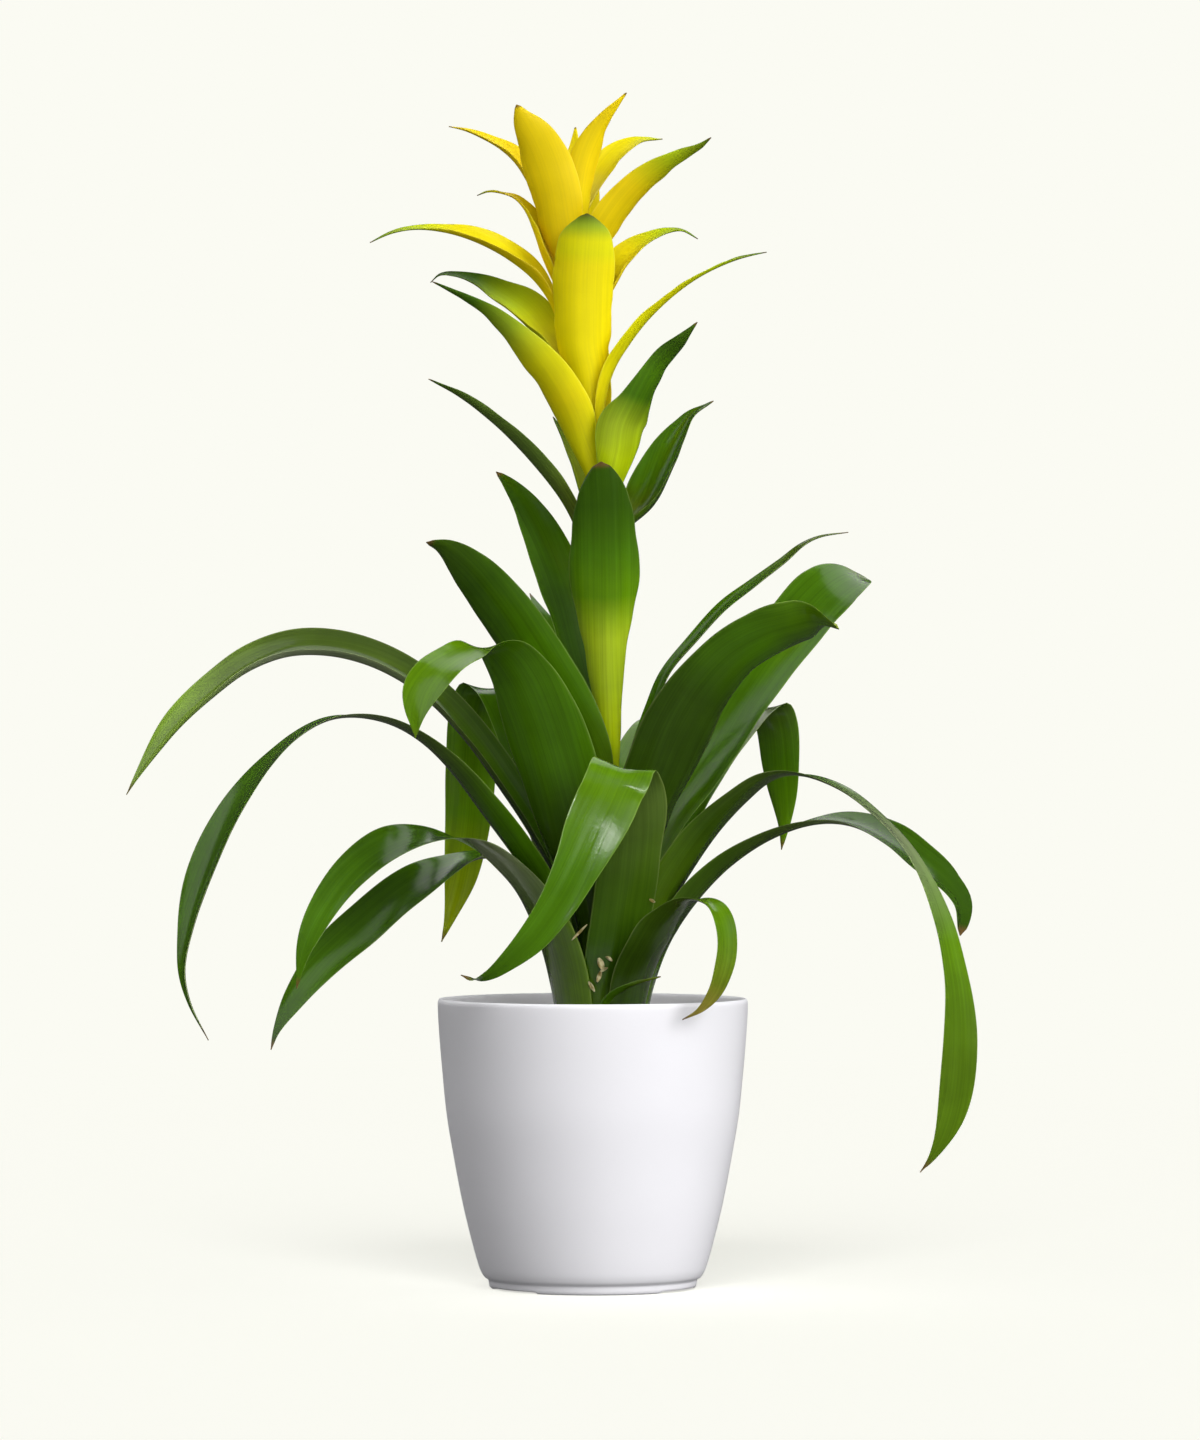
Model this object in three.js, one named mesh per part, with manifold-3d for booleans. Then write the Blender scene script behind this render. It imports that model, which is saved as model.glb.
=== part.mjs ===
// A potted bromeliad: an arching rosette of strap leaves, a flower stalk with green bracts that turn
// yellow towards its head, potting mix, and a tapered round pot. Millimetres, +Z up. The origin is the
// middle of the pot's flat underside, and -Y is the side that the plant is looked at from.
import * as THREE from "three";
import { mergeVertices } from "three/addons/utils/BufferGeometryUtils.js";
import Module from "manifold-3d";

const wasm = await Module();
wasm.setup();

// Driving dimensions
const POT_RIM_RADIUS = 77.5;
const POT_HEIGHT = 144.5;
const POT_FLOOR = 4;
const POT_SIDES = 48;
const FOOT_RADIUS = 50.6;
const NOTCH_DEPTH = 1; // three shallow drainage notches across the foot
const NOTCH_WIDTH = 40;
const NOTCH_HEADINGS = [94, 214, 334];
const SOIL_LEVEL = 116;
const SEAT_GAP = 0.3; // clearance between a piece and what carries it
const CROWN_X = 4.5; // the plant stands this far right of the pot's middle
const CROWN_BOTTOM = 106;
const CROWN_FOOT_RADIUS = 19.3;
const CROWN_NECK_HEIGHT = 144;
const CROWN_NECK_RADIUS = 6.2;
const STALK_BOTTOM = 152;
const STALK_TOP = 540;
const STALK_RADIUS = 4.7;
const STALK_TOP_RADIUS = 2.7;
const STALK_RINGS = 16;
const STALK_SIDES = 20;
const BUD_TOP = 556;
const BUD_RADIUS = 3.4;
const LEAF_THICKNESS = 1.1;
const EDGE_THICKNESS = 0.7;
const TIP_HALF = 0.6; // half a blade's width at its very tip
const LEAF_SHEATH = 12; // half the width of a leaf's sheath, and of a bract's
const BRACT_SHEATH = 6.5;
const SHEATH_LIMIT = 65; // the furthest that a sheath goes round the stem each way, in degrees
const SHEATH_END = 0.2; // the part of a blade's length over which its sheath opens
const COLUMNS = 4; // flat strips across a blade

const plant = new THREE.Group();

function add(name, geometry, color, roughness) {
  const material = new THREE.MeshStandardMaterial({ color, roughness, metalness: 0 });
  const mesh = new THREE.Mesh(geometry, material);
  mesh.name = name;
  plant.add(mesh);
}

const radians = THREE.MathUtils.degToRad;
const lerp = THREE.MathUtils.lerp;
const vector = ([x, y, z]) => new THREE.Vector3(x, y, z);

// Solids for cutting

function solidOf(geometry) {
  const bare = geometry.clone();
  bare.deleteAttribute("normal");
  bare.deleteAttribute("uv");
  const merged = mergeVertices(bare, 1e-3);
  return new wasm.Manifold(
    new wasm.Mesh({
      numProp: 3,
      vertProperties: merged.attributes.position.array,
      triVerts: new Uint32Array(merged.index.array),
    }),
  );
}

function geometryOf(solid) {
  const mesh = solid.getMesh();
  return new THREE.BufferGeometry()
    .setAttribute("position", new THREE.BufferAttribute(mesh.vertProperties, 3))
    .setIndex(new THREE.BufferAttribute(mesh.triVerts, 1));
}

function indexed(position, index) {
  return new THREE.BufferGeometry()
    .setAttribute("position", new THREE.Float32BufferAttribute(position, 3))
    .setIndex(index);
}

// A lathe about Z: profile is [radius, height] pairs from the axis, out and up, and back to the axis.
function turned(profile) {
  const points = profile.map(([r, z]) => new THREE.Vector2(r, z));
  return new THREE.LatheGeometry(points, POT_SIDES).rotateX(Math.PI / 2);
}

// The stalk's line

// The crown and the stalk grow along it: up through the rosette, then leaning left.
const stalkLine = new THREE.CatmullRomCurve3([
  [CROWN_X, 0, 100],
  [5.5, 0, 180],
  [8, 0, 250],
  [7, 0, 330],
  [3, 0, 400],
  [-3, 0, 460],
  [-8, 0, 510],
  [-12.5, 0, BUD_TOP],
].map(vector));
const stalkPoints = stalkLine.getSpacedPoints(200);

function stalkAt(z) {
  const next = Math.max(1, stalkPoints.findIndex((p) => p.z >= z));
  const [a, b] = [stalkPoints[next - 1], stalkPoints[next]];
  return a.clone().lerp(b, (z - a.z) / (b.z - a.z));
}

// Leaves and bracts

// Values spread evenly from 0 to 1, joined by a smooth run through all of them.
function along(values, t) {
  const place = t * (values.length - 1);
  const i = Math.min(Math.floor(place), values.length - 2);
  const u = place - i;
  const a = values[Math.max(i - 1, 0)];
  const b = values[i];
  const c = values[i + 1];
  const d = values[Math.min(i + 2, values.length - 1)];
  return b + 0.5 * u * (c - a + u * (2 * a - 5 * b + 4 * c - d + u * (3 * (b - c) + d - a)));
}

// A blade follows its line. At its foot it is a sheath curled round the stem, and it opens from there
// to a shallow channel. Each row across it is an arc about the line, thinner towards both edges.
function bladeGeometry({ heading, foot, sheath, line, half, curl, roll, steps }) {
  const [footRadius, footHeight] = foot;
  const outward = new THREE.Vector3(Math.cos(radians(heading)), Math.sin(radians(heading)), 0);
  const level = new THREE.Vector3(-outward.y, outward.x, 0);
  const start = stalkAt(footHeight).addScaledVector(outward, footRadius);
  const curve = new THREE.CatmullRomCurve3([start, ...line.map(vector)]);
  curve.arcLengthDivisions = 600;
  const sheathCurl = Math.min(sheath / footRadius, radians(SHEATH_LIMIT));
  const halves = [sheathCurl * footRadius, ...half];
  const rows = [];
  for (let i = 0; i <= steps; i++) {
    const t = i / steps;
    const centre = curve.getPointAt(t);
    const tangent = curve.getTangentAt(t);
    const flat = level.clone().addScaledVector(tangent, -level.dot(tangent)).normalize();
    const face = tangent.clone().cross(flat);
    const turn = radians(along(roll, t));
    const side = flat.clone().multiplyScalar(Math.cos(turn)).addScaledVector(face, Math.sin(turn));
    const up = tangent.clone().cross(side);
    const opened = THREE.MathUtils.smoothstep(t, 0, SHEATH_END);
    const open = lerp(sheathCurl, radians(along(curl, t)), opened);
    const radius = Math.max(along(halves, t), TIP_HALF) / open;
    const row = [];
    for (let j = 0; j <= COLUMNS; j++) {
      const v = (2 * j) / COLUMNS - 1;
      const sin = Math.sin(open * v);
      const cos = Math.cos(open * v);
      const middle = centre.clone()
        .addScaledVector(side, radius * sin)
        .addScaledVector(up, radius * (1 - cos));
      const normal = up.clone().multiplyScalar(cos).addScaledVector(side, -sin);
      const thick = lerp(LEAF_THICKNESS, EDGE_THICKNESS, v * v) / 2;
      const top = middle.clone().addScaledVector(normal, thick);
      const low = middle.clone().addScaledVector(normal, -thick);
      row.push([top, low]);
    }
    rows.push(row);
  }
  return closedBlade(rows);
}

// Joins the upper and lower face of rows of points, split alike on both, with walls round the rim.
function closedBlade(rows) {
  const columns = rows[0].length;
  const points = rows.flat(2);
  const at = (i, j, low) => 2 * (i * columns + j) + low;
  const index = [];
  const quad = (a, b, c, d) => index.push(a, b, c, a, c, d);
  for (let i = 0; i + 1 < rows.length; i++) {
    for (let j = 0; j + 1 < columns; j++) {
      quad(at(i, j, 0), at(i + 1, j, 0), at(i + 1, j + 1, 0), at(i, j + 1, 0));
      quad(at(i + 1, j + 1, 1), at(i + 1, j, 1), at(i, j, 1), at(i, j + 1, 1));
    }
    const last = columns - 1;
    quad(at(i, 0, 0), at(i, 0, 1), at(i + 1, 0, 1), at(i + 1, 0, 0));
    quad(at(i, last, 0), at(i + 1, last, 0), at(i + 1, last, 1), at(i, last, 1));
  }
  const end = rows.length - 1;
  for (let j = 0; j + 1 < columns; j++) {
    quad(at(0, j, 0), at(0, j + 1, 0), at(0, j + 1, 1), at(0, j, 1));
    quad(at(end, j, 0), at(end, j, 1), at(end, j + 1, 1), at(end, j + 1, 0));
  }
  return indexed(points.flatMap((p) => p.toArray()), index);
}

// Each blade: heading is the way it grows, in degrees from +X towards +Y. foot is its sheath's radius
// about the stem and the height that it grows from. line is where its middle goes after that. half (half
// the width), curl (the angle from its middle to its edge, in degrees) and roll (its turn about its own
// line, in degrees) are evenly spread from just above the sheath to the tip.
const leaves = {
  leaf_front_fold: {
    colour: 0x4f842b,
    heading: 285,
    foot: [18, 122],
    sheath: 15,
    line: [
      [10.5, -22, 155], [14.5, -28, 183], [18, -36, 209], [19.7, -45, 234.1],
      [18.2, -51.2, 251.5], [15.5, -60.8, 259.5], [12, -68.3, 254.9], [6.5, -72, 243],
      [-0.3, -76, 228.9], [-7.5, -79, 213], [-16.5, -81, 196], [-28.7, -82, 178.5],
      [-41, -82, 166.5], [-50.3, -81, 159.5], [-57.6, -80, 157], [-64.5, -79, 159],
    ],
    half: [15, 16, 16, 16, 15.6, 17.4, 15.4, 16.2, 15, 11.8, 9.8, 7.8, 4.2, 0.6],
    curl: [40, 26, 18, 2, 8, 16, 18],
    roll: [0, 0, -7, -15, 1, 0, 0],
    steps: 26,
  },
  leaf_front_low_right: {
    colour: 0x3f6b25,
    heading: 306,
    foot: [20.5, 117],
    sheath: 14,
    line: [
      [21.5, -24, 155], [30, -33, 173], [37.5, -42, 185.5], [44.5, -51, 193], [51, -58, 195],
      [57, -63, 193.8], [61.5, -67.5, 190], [64.8, -71, 182], [65.3, -73, 170.2],
      [63, -75, 159.4], [59.1, -75.5, 150.2], [52.4, -75.5, 142.1], [43.9, -75, 137],
    ],
    half: [12, 13, 14, 14, 9.5, 6.5, 6.2, 6, 4.2, 0.6],
    curl: [38, 28, 20, 20],
    roll: [0, 0, 0, 0],
    steps: 22,
  },
  leaf_left_low: {
    colour: 0x56663c,
    heading: 212,
    foot: [20.5, 117],
    sheath: 15,
    line: [
      [-16, -13, 150], [-21, -17, 172], [-29.5, -23, 192], [-40.5, -31, 207], [-55.2, -42, 220],
      [-74.8, -55, 226.5], [-96.9, -68, 223.5], [-117.4, -79, 209.8], [-131.5, -86, 191.6],
      [-140, -90, 173.5], [-144.2, -92, 152.9],
    ],
    half: [18.5, 17.5, 14, 12, 12, 11.5, 9, 6, 0.6],
    curl: [42, 34, 20, 20, 22],
    roll: [0, 4, 6, -2, -36, -48, -40],
    steps: 18,
  },
  leaf_left_drooping: {
    colour: 0x4c6a3a,
    heading: 188,
    foot: [19, 120],
    line: [
      [-16, -4, 155], [-21, -4, 178], [-31, -5, 200], [-42, -8, 212], [-55, -12, 215.2],
      [-73, -19, 210], [-92.9, -27, 198.6], [-112.7, -34, 182.3], [-132.5, -40, 164],
      [-147.4, -44, 145.2], [-155.8, -46, 130.3], [-158.8, -47, 121],
    ],
    half: [13, 13, 13, 13, 13.5, 12.8, 11.8, 7.2, 0.6],
    curl: [45, 34, 20, 20, 20],
    roll: [0, 0, 0, -4, -38, -54, -50, -40],
    steps: 18,
  },
  leaf_left_long: {
    colour: 0x4c5f26,
    heading: 188,
    foot: [17.4, 123],
    line: [
      [-13.5, -4, 160], [-18.5, -5, 180], [-26.4, -6, 199], [-38.6, -9, 218], [-53.4, -12, 238.5],
      [-70.8, -16, 260.5], [-85.7, -19, 274], [-100.6, -22, 282], [-118, -25, 285.3],
      [-132, -28, 283.5], [-147.2, -31, 275.2], [-161, -34, 262], [-171.8, -36, 247],
      [-182, -38, 228.8], [-192.3, -40, 204.4], [-199, -41, 182], [-202.2, -42, 160],
      [-199, -43, 144], [-189.8, -44, 125.5],
    ],
    half: [11, 13, 13, 11.5, 10.5, 11, 14.6, 12.5, 4.5, 0.6],
    curl: [48, 50, 34, 12, 20, 40, 40],
    roll: [0, 14, 22, 8, -4, -20, -28, -8],
    steps: 24,
  },
  leaf_left_high: {
    colour: 0x66752e,
    heading: 160,
    foot: [12.5, 133],
    line: [
      [-8.5, 8, 165], [-15, 13, 196], [-29.2, 18, 224.8], [-47.6, 24, 253.2], [-63, 29, 274.5],
      [-78.2, 33, 291], [-94.5, 38, 303.6], [-113, 42, 312.8], [-133.3, 46, 317.8],
      [-153.6, 50, 317.6], [-173.9, 54, 310.5], [-192, 58, 298], [-209.8, 62, 282.4],
      [-222.8, 65, 267], [-232.4, 68, 254], [-237.8, 70, 245.7],
    ],
    half: [9, 12, 14, 13.5, 14.5, 15.5, 14.6, 11, 0.6],
    curl: [60, 66, 68, 64, 54, 44],
    roll: [0, -8, -14, -20, -38, -48],
    steps: 22,
  },
  leaf_left_back: {
    colour: 0x4a5c24,
    heading: 108,
    foot: [15.9, 126.2],
    line: [
      [-7, 26, 175], [-16, 38, 210], [-28, 52, 247], [-38.5, 68, 278], [-48, 82, 296.5],
      [-55, 91, 299], [-59.5, 97, 288], [-61.5, 101, 262], [-63.8, 104, 230], [-68, 106, 202],
      [-73.5, 107, 182], [-78, 107, 169.5],
    ],
    half: [9, 12, 13.5, 14, 13.5, 14.5, 13.5, 9.5, 0.6],
    curl: [40, 30, 22, 22, 20],
    roll: [0, 0, 0],
    steps: 20,
  },
  leaf_left_fold: {
    colour: 0x2f4d12,
    heading: 248,
    foot: [9.2, 141],
    line: [
      [-2.6, -10.2, 165], [-3, -14, 185], [-6.5, -18.5, 203], [-11, -24, 222], [-16, -29.5, 245],
      [-22.6, -36, 269.5], [-28.7, -42, 288], [-36, -48, 304.5], [-45.5, -55, 316.5],
      [-55, -61, 318.8], [-65, -67, 314.8], [-74.5, -73, 308.4], [-81.7, -78, 299.3],
      [-85.5, -81, 289], [-86.6, -82, 274.8],
    ],
    half: [6.6, 9.6, 15.5, 20.5, 23, 22.5, 19, 15, 13.5, 11.5, 0.6],
    curl: [58, 46, 34, 22, 18, 24],
    roll: [0, 0, 0, 0],
    steps: 20,
  },
  leaf_right_slim: {
    colour: 0x54502e,
    heading: 20,
    foot: [8, 143.5],
    sheath: 6.5,
    line: [
      [13.6, 3, 178], [16.6, 4.5, 223], [21.5, 6, 258], [30.2, 8, 289.2], [36.7, 9, 306.4],
      [50.7, 10, 323.4], [65.8, 11, 339.9], [81.4, 12, 352.1], [95.7, 13, 363],
      [105.6, 14, 371.7], [113.8, 15, 375.7], [128.3, 15, 378],
    ],
    half: [6.5, 6, 6.5, 6.6, 5, 5.4, 5.4, 3.8, 0.6],
    curl: [60, 50, 40, 36, 32, 24],
    roll: [0, 8, 14, 14, 8],
    steps: 18,
  },
  leaf_right_broad: {
    colour: 0x355f10,
    heading: 318,
    foot: [11.2, 135.6],
    line: [
      [14.6, -9, 180], [21.3, -15, 213.9], [28.6, -21, 241.8], [36.1, -26, 260.9],
      [44.6, -32, 280.7], [56.1, -38, 299.3], [70.2, -43, 314.3], [86.5, -47, 323.9],
      [100.1, -50, 328.5], [111.5, -52, 331], [121.3, -54, 328.5],
    ],
    half: [7.3, 8.3, 12, 16, 18.6, 19.6, 20.1, 18.3, 16.6, 17.8, 20.2, 5],
    curl: [46, 40, 36, 32, 26],
    roll: [0, -8, -20, -30, -28, -14],
    steps: 18,
  },
  leaf_right_behind: {
    colour: 0x4a7f1e,
    heading: 46,
    foot: [12.6, 132.8],
    line: [
      [16.5, 9, 180], [25, 13.5, 208], [36.4, 18.5, 230], [49.9, 25, 249.7], [61.9, 31, 269.2],
      [74.2, 37, 290.3], [87.1, 43, 309.7], [99.9, 49, 326.3], [111.5, 55, 341],
      [121.5, 61.5, 350.8], [130, 69, 356], [137.5, 78, 357.5],
    ],
    half: [7.3, 8.5, 11.5, 15.5, 17.3, 17.5, 17.8, 17.2, 17.1, 17.6, 17, 7],
    curl: [55, 40, 26, 20, 18],
    roll: [0, 0, 4, 6, 12, 20, 26, 26],
    steps: 20,
  },
  leaf_right_back: {
    colour: 0x55694a,
    heading: 66,
    foot: [17.6, 122.8],
    line: [
      [21, 23, 165], [33, 35, 205], [48, 50, 242], [66, 67, 270], [81, 81, 286.5],
      [89.5, 90, 289.3], [93.5, 95, 281], [96, 99, 260], [97.6, 102, 240], [98, 104, 228],
      [97, 105, 217],
    ],
    half: [9, 11, 13, 13.5, 13.5, 13, 12, 8.5, 0.6],
    curl: [40, 30, 22, 18, 18],
    roll: [0, 0, 0],
    steps: 18,
  },
  leaf_right_long: {
    colour: 0x3d7436,
    heading: 340,
    foot: [15.6, 126.8],
    line: [
      [21.5, -5, 160], [30, -7.5, 183], [41.5, -12, 206], [56, -20, 228], [71.5, -29, 244],
      [86.5, -37, 254.5], [102.2, -45, 256.5], [121.5, -52, 250], [137.5, -57, 238.8],
      [152.8, -62, 223], [163.5, -66, 205], [171, -69, 184.8], [175.4, -71, 165], [178, -72, 147],
      [178.6, -73, 122.7], [176.5, -73, 98.5], [172, -73, 81.8], [166.3, -72, 69.9],
      [160.5, -71, 62],
    ],
    half: [9.5, 13, 14, 12.5, 10.5, 8.5, 8.5, 9.5, 10, 11.3, 9.3, 0.6],
    curl: [48, 40, 22, 12, 12, 14, 20, 22, 20],
    roll: [0, -22, -20, -8, 0, 2, 20, 36, 32],
    steps: 26,
  },
  leaf_right_low: {
    colour: 0x5a4b38,
    heading: 358,
    foot: [19.3, 119.4],
    line: [
      [29.5, -1.2, 150], [36.8, -2.5, 172], [47, -4, 189.5], [60.2, -8, 205], [72.7, -12, 215.3],
      [88, -16, 224.5], [105.3, -21, 231], [120.2, -25, 233], [134, -28, 231],
      [148.8, -31, 224.5], [161.5, -34, 214.5], [174, -36, 204], [182, -37, 193],
      [181.8, -38, 177],
    ],
    half: [9, 11, 12, 11, 10, 10.5, 12.5, 13, 9.5, 0.6],
    curl: [48, 44, 40, 32, 26, 22],
    roll: [0, -20, -26, -12, 16, 36, 32],
    steps: 20,
  },
  leaf_thin_front: {
    colour: 0x4c6c2a,
    heading: 272,
    foot: [22.4, 118],
    sheath: 3,
    line: [
      [4, -27, 131], [5.4, -33, 142], [12.5, -40, 149.6], [23, -47, 154.3], [33.5, -52, 157.3],
    ],
    half: [2.2, 2.4, 2.4, 2, 1.4, 0.6],
    curl: [30, 30, 30],
    roll: [0, 0, 0],
    steps: 10,
  },
  leaf_back_left: {
    colour: 0x3f6b1e,
    heading: 112,
    foot: [9.3, 140.8],
    sheath: 8,
    line: [
      [-1, 12, 180], [-4, 19, 220], [-10, 31, 262], [-17, 47, 298], [-24, 69, 322],
      [-30, 95, 326], [-35, 119, 308], [-38, 135, 276], [-39, 143, 240],
    ],
    half: [6.5, 11.5, 15, 16, 15, 12, 7, 0.6],
    curl: [60, 44, 32, 24, 20],
    roll: [0, 0, 0],
    steps: 18,
  },
  leaf_back_right: {
    colour: 0x446f22,
    heading: 80,
    foot: [14, 130],
    line: [
      [8, 19, 165], [10.5, 28, 205], [16, 43, 245], [26, 62, 266], [36, 84, 281], [42, 108, 277],
      [44, 127, 254], [44, 139, 222],
    ],
    half: [9, 12, 14, 15, 14, 11, 7, 0.6],
    curl: [44, 34, 26, 22, 20],
    roll: [0, 0, 0],
    steps: 18,
  },
  leaf_back_low: {
    colour: 0x3b6422,
    heading: 94,
    foot: [20.4, 117.2],
    line: [
      [3.5, 30, 150], [3, 43, 183], [3, 60, 214], [3, 82, 238], [4, 107, 245], [5, 130, 232],
      [6, 147, 205], [6, 157, 172],
    ],
    half: [11, 13, 14, 13, 12, 10, 6, 0.6],
    curl: [42, 34, 26, 22, 20],
    roll: [0, 0, 0],
    steps: 16,
  },
};

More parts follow.
